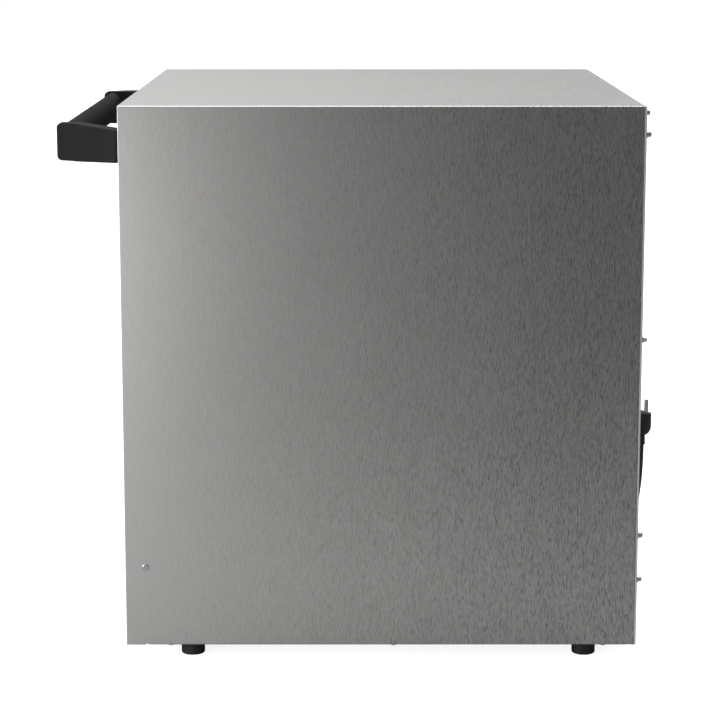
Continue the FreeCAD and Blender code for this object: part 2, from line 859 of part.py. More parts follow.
def feet():
    """Four rubber feet with screw recesses, and their screws."""
    top = f"({BOTTOM} + gauge)"
    master = turned(
        "foot_master",
        [
            ("foot_bore", "foot_recess_depth"),
            ("foot_recess", "foot_recess_depth"),
            ("foot_recess", "0"),
            ("foot_radius", "0"),
            ("foot_radius", top),
            ("foot_bore", top),
        ],
    )
    limit = value("foot_radius")
    round_edges(
        master,
        "foot_round",
        lambda edge, at: near(at.z, 0) and near(math.hypot(at.x, at.y), limit),
    )
    keep(copies("foot_group", master, foot_places()), "feet")
    screw = turned(
        "foot_screw_master",
        [
            ("0", "foot_recess_depth - head_height"),
            ("foot_screw_head", "foot_recess_depth - head_height"),
            ("foot_screw_head", "foot_recess_depth"),
            ("foot_screw_radius", "foot_recess_depth"),
            ("foot_screw_radius", f"{top} + screw_length"),
            ("0", f"{top} + screw_length"),
        ],
    )
    keep(copies("foot_screw_group", screw, foot_places()), "foot_screws")


def screws():
    """The cabinet's pan-head screws; the rear ones have a washer under the head."""
    plain = turned(
        "base_screw_master",
        [
            ("0", "-head_height"),
            ("head_radius", "-head_height"),
            ("head_radius", "0"),
            ("screw_radius", "0"),
            ("screw_radius", "screw_length"),
            ("0", "screw_length"),
        ],
    )
    low, wide = -value("head_height"), value("head_radius")

    def crown(edge, at):
        return near(at.z, low) and near(math.hypot(at.x, at.y), wide)

    round_edges(plain, "head_height * 0.4", crown)
    keep(copies("base_screw_group", plain, base_screw_places()), "base_screws")
    top = "(washer_height + rear_head_height)"
    washered = turned(
        "rear_screw_master",
        [
            ("0", "-screw_length"),
            ("screw_radius", "-screw_length"),
            ("screw_radius", "0"),
            ("washer_radius", "0"),
            ("washer_radius", "washer_height"),
            ("head_radius", "washer_height"),
            ("head_radius", top),
            ("0", top),
        ],
    )
    high = value(top)

    def cap(edge, at):
        return near(at.z, high) and near(math.hypot(at.x, at.y), wide)

    round_edges(washered, "rear_head_height * 0.4", cap)
    places = rear_screw_places() + cover_screw_places()
    keep(copies("rear_screw_group", washered, places, "y"), "rear_screws")


# ---- door


def ring(side, low, high, inset):
    """A rectangle that is inset from a door-shaped one, as an outline."""
    return rectangle(
        f"-({side} - ({inset}))",
        f"{side} - ({inset})",
        f"{low} + ({inset})",
        f"{high} - ({inset})",
    )


def door():
    """The folded door pan, its inner panel, glass, seal, magnets and hinge bushes."""
    body = new_body("door_frame")
    sketch = new_sketch(body, "door_outline", "y", DOOR_FRONT)
    polygon(sketch, rectangle(f"-{DOOR_SIDE}", DOOR_SIDE, DOOR_LOW, DOOR_HIGH))
    polygon(sketch, rectangle(f"-{WINDOW_SIDE}", WINDOW_SIDE, WINDOW_LOW, WINDOW_HIGH))
    pad(body, sketch, "door_depth - gauge", "y")
    doc.recompute()
    solid = body.Tip
    back = value(DOOR_BACK) - value("gauge")
    open_side = [
        f"Face{n}" for n, f in enumerate(solid.Shape.Faces, 1) if near(f.CenterOfMass.y, back)
    ]
    hollow = body.newObject("PartDesign::Thickness", "door_hollow")
    hollow.Base = (solid, open_side)
    hollow.Reversed = True
    hollow.Join = "Intersection"
    bind(hollow, "Value", "door_gauge")
    doc.recompute()
    pivots = new_sketch(body, "door_pivots", "x")
    circle(pivots, PIVOT_Y, PIVOT_Z, "bush_radius")
    removes(body, lambda: pocket(body, pivots))
    bolts = new_sketch(body, "door_bolts", "y", f"{DOOR_FRONT} - 1")
    for x, z in handle_screw_spots():
        circle(bolts, x, z, "handle_screw_radius + 0.2")
    removes(body, lambda: pocket(body, bolts, "door_gauge + 2", "y"))
    corner = value(DOOR_SIDE)
    face = value(DOOR_FRONT)
    round_edges(
        body,
        "gauge",
        lambda edge, at: near(at.y, face)
        and (near(abs(at.x), corner) or near(at.z, value(DOOR_HIGH)) or near(at.z, value(DOOR_LOW))),
    )
    keep(body, "door_frame")

    inner = plate(
        "door_inner",
        "y",
        f"{DOOR_BACK} - gauge",
        DOOR_BACK,
        rectangle(f"-{DOOR_SIDE}", DOOR_SIDE, DOOR_LOW, DOOR_HIGH),
        [rectangle(f"-{WINDOW_SIDE}", WINDOW_SIDE, WINDOW_LOW, WINDOW_HIGH)],
    )
    keep(inner, "door_inner_panel")
    glass_low = f"({DOOR_FRONT} + glass_set)"
    glass = plate(
        "door_pane",
        "y",
        glass_low,
        f"{glass_low} + glass_thick",
        ring(WINDOW_SIDE, WINDOW_LOW, WINDOW_HIGH, "gap"),
    )
    keep(glass, "door_glass")
    seal_side = f"({DOOR_SIDE} - seal_inset)"
    seal_low = f"({DOOR_LOW} + seal_low)"
    seal_high = f"({DOOR_HIGH} - seal_high)"
    seal = plate(
        "seal_ring",
        "y",
        DOOR_BACK,
        f"{FRAME_FRONT} - gap",
        ring(seal_side, seal_low, seal_high, "0"),
        [ring(seal_side, seal_low, seal_high, "seal_width")],
    )
    keep(seal, "door_seal")
    top = f"({DOOR_HIGH} - magnet_top_gap)"
    bars = []
    for sign, low, high in (
        ("right", "magnet_near", "magnet_far"),
        ("left", "-magnet_far", "-magnet_near"),
    ):
        z = (f"{top} - magnet_height", top)
        bars.append(block(f"magnet_{sign}", (low, high), (DOOR_BACK, f"{FRAME_FRONT} - gap"), z))
    keep(group("magnet_pair", *bars), "door_magnets")

    bush = turned(
        "bush_master",
        [
            ("pivot_radius + running_gap", "0"),
            ("bush_radius", "0"),
            ("bush_radius", "door_gauge"),
            ("bush_flange", "door_gauge"),
            ("bush_flange", "door_gauge * 2"),
            ("bush_radius", "door_gauge * 2"),
            ("bush_radius", "bush_length"),
            ("pivot_radius + running_gap", "bush_length"),
        ],
    )
    right = place(doc.addObject("App::Link", "bush_right"), DOOR_SIDE, PIVOT_Y, PIVOT_Z, "-x")
    right.LinkedObject = bush
    left = place(doc.addObject("App::Link", "bush_left"), f"-{DOOR_SIDE}", PIVOT_Y, PIVOT_Z, "x")
    left.LinkedObject = bush
    keep(group("bush_pair", right, left), "door_bushes")

    pin = turned(
        "pivot_master",
        [
            ("0", "-pivot_head_height"),
            ("pivot_head", "-pivot_head_height"),
            ("pivot_head", "0"),
            ("pivot_radius", "0"),
            ("pivot_radius", "pivot_length"),
            ("0", "pivot_length"),
        ],
    )
    low, wide = -value("pivot_head_height"), value("pivot_head")
    round_edges(
        pin,
        "pivot_head_height * 0.5",
        lambda edge, at: near(at.z, low) and near(math.hypot(at.x, at.y), wide),
    )
    right = place(doc.addObject("App::Link", "pivot_right"), SIDE, PIVOT_Y, PIVOT_Z, "-x")
    right.LinkedObject = pin
    left = place(doc.addObject("App::Link", "pivot_left"), f"-{SIDE}", PIVOT_Y, PIVOT_Z, "x")
    left.LinkedObject = pin
    keep(group("pivot_pair", right, left), "door_pivot_screws")


def handle_screw_spots():
    middle = f"({HANDLE_LOW} + bracket_height / 2)"
    return [
        (f"{sign}handle_screw_x", f"{middle} {step} handle_screw_spread / 2")
        for sign in ("", "-")
        for step in ("+", "-")
    ]


def handle():
    """Two swept brackets, the oval bar between them and the screws from inside the door."""
    body = new_body("handle_bracket_right")
    sketch = new_sketch(body, "bracket_plan", "z", HANDLE_LOW)
    tip_back = f"{HANDLE_FRONT} + bracket_tip_depth"
    polygon(
        sketch,
        [
            ("bracket_root_inner", DOOR_FRONT),
            ("bracket_tip_inner", f"{tip_back} + 4"),
            ("bracket_tip_inner", HANDLE_FRONT),
            ("bracket_tip - 4", HANDLE_FRONT),
            ("bracket_tip + 6", f"{tip_back} - 6"),
            ("bracket_root", f"{DOOR_FRONT} - 14"),
            ("bracket_root", DOOR_FRONT),
        ],
    )
    pad(body, sketch, "bracket_height", "z")
    face = value(HANDLE_FRONT)
    low, high = value(HANDLE_LOW), value(HANDLE_HIGH)

    def tip(edge, at):
        return near(at.y, face) and (near(at.z, low) or near(at.z, high))

    round_edges(body, "bracket_round", tip)
    start, end = f"{HANDLE_FRONT} + bracket_tip_depth", DOOR_FRONT
    for name, face, slope, beyond in (
        ("top", HANDLE_HIGH, "-bracket_drop", "1"),
        ("under", HANDLE_LOW, "bracket_rise", "-1"),
    ):
        wedge = new_sketch(body, f"bracket_{name}_taper", "x", "bracket_tip_inner - 1")
        corners = [(start, face), (end, f"{face} + ({slope})")]
        corners += [(f"{end} + 1", f"{face} + ({slope})"), (f"{end} + 1", f"{face} + {beyond}")]
        polygon(wedge, corners + [(start, f"{face} + {beyond}")])
        removes(body, lambda: pocket(body, wedge, "bracket_root", "x"))
    bores = new_sketch(body, "bracket_bores", "y", f"{DOOR_FRONT} - handle_screw_length")
    for x, z in handle_screw_spots()[:2]:
        circle(bores, x, z, "handle_screw_bore")
    removes(body, lambda: pocket(body, bores, "handle_screw_length + 1", "y"))
    keep(body, "handle_bracket_right")
    keep(mirrored("bracket_mirror", body), "handle_bracket_left")

    bar = new_body("handle_bar")
    oval = new_sketch(bar, "bar_oval", "x", "-bracket_tip_inner")
    centre = V(value(f"{HANDLE_FRONT} + bar_depth / 2"), value(f"{BOTTOM} + bar_level"), 0)
    number = oval.addGeometry(
        Part.Ellipse(
            centre + V(0, value("bar_height / 2"), 0),
            centre + V(value("bar_depth / 2"), 0, 0),
            centre,
        ),
        False,
    )
    fix(oval, "DistanceX", (-1, 1, number, 3), f"{HANDLE_FRONT} + bar_depth / 2")
    fix(oval, "DistanceY", (-1, 1, number, 3), f"{BOTTOM} + bar_level")
    pad(bar, oval, "bracket_tip_inner * 2", "x")
    keep(bar, "handle_bar")

    screw = turned(
        "handle_screw_master",
        [
            ("0", "-handle_screw_length + 1"),
            ("handle_screw_radius", "-handle_screw_length + 1"),
            ("handle_screw_radius", "0"),
            ("handle_screw_head", "0"),
            ("handle_screw_head", "head_height"),
            ("0", "head_height"),
        ],
    )
    places = [(x, f"{DOOR_FRONT} + door_gauge", z) for x, z in handle_screw_spots()]
    keep(copies("handle_screw_group", screw, places, "y"), "handle_screws")


# ---- fan and heater


def fan():
    """The motor on its bracket behind the chamber, and the shaft, wheel and nut it turns."""
    wall = f"({CHAMBER_BACK} + gauge)"
    motor = turned(
        "motor_can",
        [
            ("motor_bore", "0"),
            ("motor_radius * 0.4", "0"),
            ("motor_radius * 0.4", "3"),
            ("motor_radius", "3"),
            ("motor_radius", "motor_length - 8"),
            ("motor_radius * 0.7", "motor_length"),
            ("motor_bore", "motor_length"),
        ],
        "0",
        f"{wall} + motor_set + bracket_plate",
        FAN_Z,
        "y",
    )
    keep(motor, "fan_motor")
    mount = ("-bracket_half", "bracket_half")
    level = (f"{FAN_Z} - bracket_half", f"{FAN_Z} + bracket_half")
    start = f"{wall} + motor_set"
    slab = block("bracket_slab", mount, (start, f"{start} + bracket_plate"), level)
    posts = []
    for number, (x, z) in enumerate(((1, 1), (1, -1), (-1, 1), (-1, -1)), 1):
        centre = (f"{x} * post_spread", wall, f"{FAN_Z} + {z} * post_spread")
        posts.append(rod(f"bracket_post_{number}", "y", centre, "post_radius", "motor_set + 1"))
    hole = rod("bracket_hole", "y", ("0", f"{start} - 1", FAN_Z), "motor_radius * 0.35", "20")
    keep(cut("bracket_whole", fuse("bracket_solid", slab, *posts), hole), "motor_bracket")

    shaft_start = f"{CHAMBER_BACK} - shaft_front"
    length = "shaft_front + gauge + motor_set + motor_length"
    shaft = rod("shaft_rod", "y", ("0", shaft_start, FAN_Z), "shaft_radius", length)
    keep(shaft, "fan_shaft")

    wheel = new_body("fan_wheel", "0", f"{CHAMBER_BACK} - fan_back", FAN_Z, "-y")
    disc = new_sketch(wheel, "wheel_disc", "z")
    circle(disc, "0", "0", "blade_radius")
    circle(disc, "0", "0", "shaft_radius + 0.02")
    pad(wheel, disc, "blade_disc", "z")
    hub = new_sketch(wheel, "wheel_hub", "z")
    circle(hub, "0", "0", "hub_radius")
    circle(hub, "0", "0", "shaft_radius + 0.02")
    pad(wheel, hub, "hub_length", "z")
    blade = new_sketch(wheel, "wheel_blade", "z", "blade_disc / 2")
    polygon(blade, rectangle("blade_root", "blade_radius - 2", "-0.75", "0.75"))
    first = pad(wheel, blade, "blade_depth", "z")
    doc.recompute()
    pattern = wheel.newObject("PartDesign::PolarPattern", "wheel_blades")
    pattern.Originals = [first]
    pattern.Axis = (blade, ["N_Axis"])
    pattern.Angle = 360
    bind(pattern, "Occurrences", "blade_count")
    wheel.Tip = pattern
    keep(wheel, "fan_blade")
    seat = f"({CHAMBER_BACK} - fan_back - hub_length)"
    nut = new_body("nut_body", "0", seat, FAN_Z, "-y")
    hexagon = new_sketch(nut, "nut_hexagon", "z")
    corner = "nut_radius * 0.866"
    polygon(
        hexagon,
        [
            ("nut_radius", "0"),
            ("nut_radius / 2", corner),
            ("-nut_radius / 2", corner),
            ("-nut_radius", "0"),
            ("-nut_radius / 2", f"-{corner}"),
            ("nut_radius / 2", f"-{corner}"),
        ],
    )
    circle(hexagon, "0", "0", "shaft_radius + 0.02")
    pad(nut, hexagon, "nut_height", "z")
    keep(nut, "fan_nut")


def heating_element():
    """A round tube element behind the wheel's rim, with two legs through the rear wall."""
    level = f"({CHAMBER_BACK} - element_back)"
    torus = doc.addObject("Part::Torus", "element_ring")
    bind(torus, "Radius1", "element_radius")
    bind(torus, "Radius2", "element_tube")
    gap = math.degrees(math.asin(value("element_gap") / value("element_radius")))
    torus.Angle3 = 360 - 2 * gap
    turn = Rotation(V(1, 0, 0), -90) * Rotation(V(0, 0, 1), 90 + gap)
    torus.Placement = FreeCAD.Placement(V(0, value(level), value(FAN_Z)), turn)
    drop = "sqrt(element_radius ^ 2 - element_gap ^ 2)"
    parts = [torus]
    for number, sign in enumerate(("-", ""), 1):
        at = (f"{sign}element_gap", level, f"{FAN_Z} - {drop}")
        knee = doc.addObject("Part::Sphere", f"element_knee_{number}")
        bind(knee, "Radius", "element_tube")
        place(knee, *at)
        parts += [knee, rod(f"element_leg_{number}", "y", at, "element_tube", "element_leg")]
    keep(fuse("element_whole", *parts), "heating_element")


def probe():
    """The temperature probe, held in the chamber's rear wall."""
    centre = ("probe_x", f"{CHAMBER_BACK} + 20 - probe_length", f"{BOTTOM} + probe_level")
    stem = rod("probe_stem", "y", centre, "probe_radius", "probe_length")
    seat = ("probe_x", f"{CHAMBER_BACK} + gauge", f"{BOTTOM} + probe_level")
    nut = rod("probe_nut", "y", seat, "probe_radius * 2", "4")
    keep(fuse("probe_whole", stem, nut), "temperature_probe")


# ---- controls


def fascia():
    """The control strip under the door, folded back along its top edge."""
    level = f"({BOTTOM} + fascia_low)"
    top = f"({BOTTOM} + fascia_top)"
    lens = rectangle(
        "-lens_half",
        "lens_half",
        f"{BOTTOM} + lens_level",
        f"{BOTTOM} + lens_level + lens_height",
    )
    middle = f"({BOTTOM} + button_level)"
    switch = rectangle(
        "switch_x - switch_half",
        "switch_x + switch_half",
        f"{middle} - switch_height / 2",
        f"{middle} + switch_height / 2",
    )
    holes = [(x, middle, "button_hole") for x in button_spots().values()]
    outline = rectangle("-fascia_half", "fascia_half", level, top)
    body = plate(
        "control_fascia",
        "y",
        DOOR_FRONT,
        f"{DOOR_FRONT} + gauge",
        outline,
        [lens, switch],
        holes,
    )
    fold = new_sketch(body, "fascia_fold", "z", f"{top} - gauge")
    back = f"{FRAME_FRONT} - gauge"
    polygon(fold, rectangle("-fascia_half", "fascia_half", DOOR_FRONT, back))
    pad(body, fold, "gauge", "z")
    keep(body, "control_fascia")

    pane = plate(
        "lens_pane",
        "y",
        f"{DOOR_FRONT} - 0.5",
        f"{DOOR_FRONT} - 0.5 + lens_thick",
        rectangle(
            "-lens_half + 0.2",
            "lens_half - 0.2",
            f"{BOTTOM} + lens_level + 0.2",
            f"{BOTTOM} + lens_level + lens_height - 0.2",
        ),
    )
    keep(pane, "display_lens")


def button_spots():
    return {
        "button_timer": "-button_far",
        "button_temperature": "-button_near",
        "button_minus": "button_near",
        "button_plus": "button_far",
    }


def buttons():
    """Four push-buttons: a cap through the fascia, a flange behind it and a stem."""
    inside = "(button_proud + gauge + gap)"
    for name, x in button_spots().items():
        body = turned(
            f"{name}_body",
            [
                ("0", "0"),
                ("button_radius", "0"),
                ("button_radius", inside),
                ("button_flange", inside),
                ("button_flange", f"{inside} + 1.5"),
                ("stem_radius", f"{inside} + 1.5"),
                ("stem_radius", f"{inside} + stem_length"),
                ("0", f"{inside} + stem_length"),
            ],
            x,
            f"{DOOR_FRONT} - button_proud",
            f"{BOTTOM} + button_level",
            "y",
        )
        wide = value("button_radius")
        round_edges(
            body,
            "gauge",
            lambda edge, at: near(at.z, 0) and near(math.hypot(at.x, at.y), wide),
        )
        keep(body, name)


def power_switch():
    """The rocker switch: a rimmed housing with a round pocket, and the rocker in it."""
    middle = f"({BOTTOM} + button_level)"
    half = "(switch_half - 0.3)"
    tall = "(switch_height / 2 - 0.3)"
    case = block(
        "switch_case",
        (f"switch_x - {half}", f"switch_x + {half}"),
        (DOOR_FRONT, f"{DOOR_FRONT} + switch_depth"),
        (f"{middle} - {tall}", f"{middle} + {tall}"),
    )
    rim = block(
        "switch_flange",
        (f"switch_x - {half} - switch_rim", f"switch_x + {half} + switch_rim"),
        (f"{DOOR_FRONT} - switch_rim", DOOR_FRONT),
        (f"{middle} - {tall} - switch_rim", f"{middle} + {tall} + switch_rim"),
    )
    axis = f"({DOOR_FRONT} + rocker_back)"
    wide = "(rocker_half + gap)"
    cavity = rod(
        "switch_cavity",
        "x",
        (f"switch_x - {wide}", axis, middle),
        "rocker_radius + gap",
        f"{wide} * 2",
    )
    throat = block(
        "switch_throat",
        (f"switch_x - {wide}", f"switch_x + {wide}"),
        (f"{DOOR_FRONT} - switch_rim - 1", axis),
        (f"{middle} - rocker_radius - gap", f"{middle} + rocker_radius + gap"),
    )
    whole = fuse("switch_solid", case, rim)
    keep(cut("switch_body", whole, cavity, throat), "switch_housing")

    drum = rod(
        "rocker_drum",
        "x",
        ("switch_x - rocker_half", axis, middle),
        "rocker_radius",
        "rocker_half * 2",
    )
    faces = []
    for number, tilt in enumerate(("rocker_tilt * 3", "-rocker_tilt"), 1):
        tool = doc.addObject("Part::Box", f"rocker_face_{number}")
        for name, text in (
            ("Length", "rocker_half * 4"),
            ("Width", "rocker_radius * 2"),
            ("Height", "rocker_radius * 2"),
        ):
            bind(tool, name, text)
        front = value(f"{axis} - rocker_radius * 0.72")
        corner = V(value("switch_x - rocker_half * 2"), front, value(middle))
        shift = V(0, -value("rocker_radius * 2"), 0)
        if number == 2:
            shift.z = -value("rocker_radius * 2")
        turn = Rotation(V(1, 0, 0), value(tilt))
        tool.Placement = FreeCAD.Placement(corner + turn.multVec(shift), turn)
        faces.append(tool)
    keep(cut("rocker_body", drum, *faces), "switch_rocker")


def electrics():
    """The control board behind the fascia and the mains terminal block."""
    start = f"({DOOR_FRONT} + board_back)"
    low = f"{BOTTOM} + board_level"
    board = block(
        "board_blank",
        ("-board_half", "board_half"),
        (start, f"{start} + board_thick"),
        (low, f"{low} + board_height"),
    )
    display = block(
        "board_display",
        ("-lens_half + 4", "lens_half - 4"),
        (f"{start} - 10", start),
        (f"{BOTTOM} + lens_level + 3", f"{BOTTOM} + lens_level + lens_height - 3"),
    )
    keep(fuse("board_whole", board, display), "control_board")
    back = f"({REAR} - 60)"
    body = block(
        "terminal_blank",
        ("terminal_x", "terminal_x + terminal_wide"),
        (back, f"{back} + terminal_deep"),
        (PLATE_TOP, f"{PLATE_TOP} + terminal_high"),
    )
    holes = []
    for number in (1, 2, 3):
        centre = (
            f"terminal_x + terminal_wide * {number} / 4",
            f"{back} - 1",
            f"{PLATE_TOP} + terminal_high / 2",
        )
        holes.append(rod(f"terminal_hole_{number}", "y", centre, "3", "terminal_deep + 2"))
    keep(cut("terminal_body", body, *holes), "terminal_block")


# ---- rear cover and mains lead


def rear_cover():
    """The louvred cover over the motor's air hole, with a screw flange round it."""
    body = new_body("motor_cover")
    start = PANEL_BACK
    low, high = f"({BOTTOM} + cover_low)", f"({BOTTOM} + cover_high)"
    box_sketch = new_sketch(body, "cover_box", "y", start)
    polygon(box_sketch, rectangle("-cover_half", "cover_half", low, high))
    pad(body, box_sketch, "rear_reach - rear_gauge", "y")
    flat = value(start)
    round_edges(body, "cover_round", lambda edge, at: not near(at.y, flat))
    inside = new_sketch(body, "cover_hollow", "y", f"{start} - 1")
    half = "(cover_half - gauge)"
    polygon(inside, rectangle(f"-{half}", half, f"{low} + gauge", f"{high} - gauge"))
    removes(body, lambda: pocket(body, inside, "rear_reach - rear_gauge - gauge + 1", "y"))
    flange = new_sketch(body, "cover_flanges", "y", start)
    outer = "(cover_half + cover_flange)"
    inner = "(cover_half - gauge / 2)"
    for a, b in ((f"-{outer}", f"-{inner}"), (inner, outer)):
        polygon(flange, rectangle(a, b, f"{low} + 12", f"{high} - 12"))
    pad(body, flange, "gauge", "y")
    holes = new_sketch(body, "cover_holes", "y", f"{start} - 1")
    for x, _, z in cover_screw_places():
        circle(holes, x, z, "screw_hole")
    removes(body, lambda: pocket(body, holes, "gauge + 2", "y"))
    exit_hole = new_sketch(body, "cover_exit", "z", f"{low} - 1")
    circle(exit_hole, "gland_x", f"{REAR} + gland_back", "gland_top")
    removes(body, lambda: pocket(body, exit_hole, "gauge + 2", "z"))
    first = rectangle(
        "-louvre_wide / 2", "louvre_wide / 2", f"{low} + 44", f"{low} + 44 + louvre_high"
    )
    louvre = new_sketch(body, "cover_louvre", "y", f"{REAR} + rear_reach - gauge - 1")
    polygon(louvre, first)
    single = removes(body, lambda: pocket(body, louvre, "gauge + 2", "y"))
    pattern = body.newObject("PartDesign::LinearPattern", "cover_louvres")
    pattern.Originals = [single]
    pattern.Direction = (louvre, ["V_Axis"])
    pattern.Mode = "Spacing"
    bind(pattern, "Offset", "louvre_step")
    bind(pattern, "Occurrences", "louvre_count")
    body.Tip = pattern
    keep(body, "motor_cover")


def cord_hardware():
    """The cord gland, the post that carries the coil, the coil's tie and the plug's clip."""
    y = f"({REAR} + gland_back)"
    gland = turned(
        "gland_body",
        [
            ("cord_diameter / 2", "-4"),
            ("gland_top", "-4"),
            ("gland_top", "gauge"),
            ("gland_flange", "gauge"),
            ("gland_flange", "gauge + gland_flange_height"),
            ("gland_top", "gauge + gland_flange_height"),
            ("gland_tip", "gland_length"),
            ("cord_diameter / 2", "gland_length"),
        ],
        "gland_x",
        y,
        f"{BOTTOM} + cover_low + gauge",
        "-z",
    )
    keep(gland, "cord_gland")

    coil_y = f"({REAR} + coil_back)"
    coil_z = f"({BOTTOM} + coil_level)"
    inner = "(coil_radius - coil_band / 2)"
    outer = "(coil_radius + coil_band / 2)"
    half = "coil_depth / 2"
    coil = turned(
        "coil_ring",
        [(inner, f"-{half}"), (outer, f"-{half}"), (outer, half), (inner, half)],
        "coil_x",
        coil_y,
        coil_z,
        "y",
    )
    keep(coil, "cord_coil")

    reach = "(coil_back + coil_depth / 2 + gap * 2 - rear_gauge)"
    post = turned(
        "post_body",
        [
            ("0", "0"),
            ("post_base", "0"),
            ("post_base", "post_plate"),
            ("post_stem", "post_plate"),
            ("post_stem", reach),
            ("post_cap", reach),
            ("post_cap", f"{reach} + post_plate * 2"),
            ("0", f"{reach} + post_plate * 2"),
        ],
        "coil_x",
        PANEL_BACK,
        f"{coil_z} + {inner} - post_stem - gap",
        "y",
    )
    keep(post, "cord_hook")

    centre = "(coil_x - coil_radius)"
    wide = "(coil_band / 2 + 0.8)"
    deep = "(coil_depth / 2 + 0.4)"
    level = (f"{coil_z} - tie_height / 2", f"{coil_z} + tie_height / 2")
    band = block(
        "tie_block",
        (f"{centre} - {wide} - tie_thick", f"{centre} + {wide} + tie_thick"),
        (f"{coil_y} - {deep} - 1", f"{coil_y} + {deep} + 1"),
        level,
    )
    hollow = block(
        "tie_hollow",
        (f"{centre} - {wide}", f"{centre} + {wide}"),
        (f"{coil_y} - {deep}", f"{coil_y} + {deep}"),
        (f"{coil_z} - tie_height", f"{coil_z} + tie_height"),
    )
    keep(cut("tie_band", band, hollow), "cord_tie")


def plug():
    """The two-pin mains plug, turned a little from the panel, its pins and its spring clip."""
    y = f"({REAR} + plug_back)"
    top = f"({BOTTOM} + plug_face)"
    body = new_body("plug_body", "plug_x", y, top)
    body.Placement.Rotation = Rotation(V(0, 0, 1), value("plug_turn"))
    oval = new_sketch(body, "plug_oval", "z", "-plug_height")
    number = oval.addGeometry(
        Part.Ellipse(V(value("plug_long"), 0, 0), V(0, value("plug_short"), 0), V(0, 0, 0)),
        False,
    )
    oval.addConstraint(Sketcher.Constraint("Coincident", number, 3, -1, 1))
    pad(body, oval, "plug_height", "z")
    base = -value("plug_height")
    round_edges(body, "plug_short * 0.45", lambda edge, at: near(at.z, base))
    relief = body.newObject("Sketcher::SketchObject", "relief_profile")
    origin = body.Origin.OriginFeatures
    relief.AttachmentSupport = [(next(f for f in origin if f.Role == "XZ_Plane"), "")]
    relief.MapMode = "FlatFace"
    polygon(
        relief,
        [
            ("0", "-plug_height - relief_height"),
            ("relief_tip", "-plug_height - relief_height"),
            ("relief_top", "-plug_height + 1"),
            ("0", "-plug_height + 1"),
        ],
    )
    cone = body.newObject("PartDesign::Revolution", "relief_turn")
    cone.Profile = relief
    cone.ReferenceAxis = (relief, ["V_Axis"])
    keep(body, "plug_body")

    turn = math.radians(value("plug_turn"))
    pins = []
    for number, sign in enumerate((1, -1), 1):
        x = f"plug_x + {sign * math.cos(turn):.6f} * pin_spread"
        depth = f"{y} + {sign * math.sin(turn):.6f} * pin_spread"
        pins.append(rod(f"plug_pin_{number}", "z", (x, depth, top), "pin_radius", "pin_length"))
    keep(group("pin_pair", *pins), "plug_pins")

    throat = "(relief_top + clip_gap)"
    wide = f"({throat} + clip_wall)"
    low = f"({top} - plug_height - clip_height - 1)"
    saddle = block(
        "clip_block",
        (f"plug_x - {wide}", f"plug_x + {wide}"),
        (PANEL_BACK, f"{y} + 1.5"),
        (low, f"{low} + clip_height"),
    )
    bore = rod("clip_bore", "z", ("plug_x", y, f"{low} - 1"), throat, "clip_height + 2")
    slot = block(
        "clip_slot",
        (f"plug_x - {throat} + 0.6", f"plug_x + {throat} - 0.6"),
        (y, f"{y} + 8"),
        (f"{low} - 1", f"{low} + clip_height + 1"),
    )
    keep(cut("clip_body", saddle, bore, slot), "cord_clip")


def lead_path(points):
    """Straight runs joined by tangent arcs, each as large as its two runs allow."""
    edges = []
    start = points[0]
    for before, corner, after in zip(points, points[1:], points[2:]):
        into = (corner - before).normalize()
        out = (after - corner).normalize()
        turn = into.getAngle(out)
        run = min((corner - before).Length, (after - corner).Length)
        reach = 0.45 * run
        print(f"lead: turn {math.degrees(turn):.1f} deg, radius {reach / math.tan(turn / 2):.1f} mm")
        first = corner - into * reach
        last = corner + out * reach
        inward = (out - into).normalize()
        middle = corner + inward * (reach / math.tan(turn / 2) * (1 / math.cos(turn / 2) - 1))
        edges.append(Part.LineSegment(start, first).toShape())
        edges.append(Part.Arc(first, middle, last).toShape())
        start = last
    edges.append(Part.LineSegment(start, points[-1]).toShape())
    return Part.Wire(edges)


def mains_lead():
    """The lead outside its coil: from the gland down to the coil, and from the coil to the plug."""
    radius = value("cord_diameter / 2")
    rear = value(REAR)
    gland_low = value(f"{BOTTOM} + cover_low - gland_length + gauge")
    relief_low = value(f"{BOTTOM} + plug_face - plug_height - relief_height")
    entry = [
        V(60.0, rear + 15.5, gland_low),
        V(60.1, rear + 16.5, gland_low - 18),
        V(60.6, rear + 19.5, gland_low - 38),
    ]
    hanging = [
        V(112.0, rear + 7.4, 119.5),
        V(138.0, rear + 7.2, 117.4),
        V(164.0, rear + 7.0, 112.6),
        V(190.0, rear + 7.2, 114.5),
        V(213.6, rear + 7.6, 125.5),
        V(230.3, rear + 8.8, 145.4),
        V(239.5, rear + 11.2, 173.0),
        V(244.6, rear + 13.4, 205.0),
        V(value("plug_x"), rear + value("plug_back"), relief_low),
    ]
    tubes = []
    for points in (entry, hanging):
        path = lead_path(points)
        section = Part.Wire(
            Part.Circle(points[0], points[1] - points[0], radius).toShape()
        )
        tube = path.makePipeShell([section], True, True)
        expected = math.pi * radius**2 * path.Length
        print(f"lead: {path.Length:.1f} mm long, volume {tube.Volume / expected:.4f} of section by length")
        tubes.append(tube)
    lead = doc.addObject("Part::Feature", "power_cord_tubes")
    lead.Shape = Part.makeCompound(tubes)
    lead.Placement = FreeCAD.Placement()
    keep(lead, "power_cord")


outer_shell()
base_plate()
rear_panel()
front_frame()
chamber()
air_baffle()
drip_tray()
trays()
feet()
screws()
door()
handle()
fan()
heating_element()
probe()
fascia()
buttons()
power_switch()
electrics()
rear_cover()
cord_hardware()
plug()
mains_lead()
doc.recompute()

faults = [o.Name for o in doc.Objects if "Invalid" in o.State or "Error" in o.State]
if faults:
    raise RuntimeError(f"failed objects: {faults}")
shapes = {}
for thing in kept:
    shape = Part.getShape(thing)
    if shape.isNull() or not shape.isValid() or not shape.Solids:
        raise RuntimeError(f"{thing.Label} has no valid solid")
    shapes[thing.Label] = shape

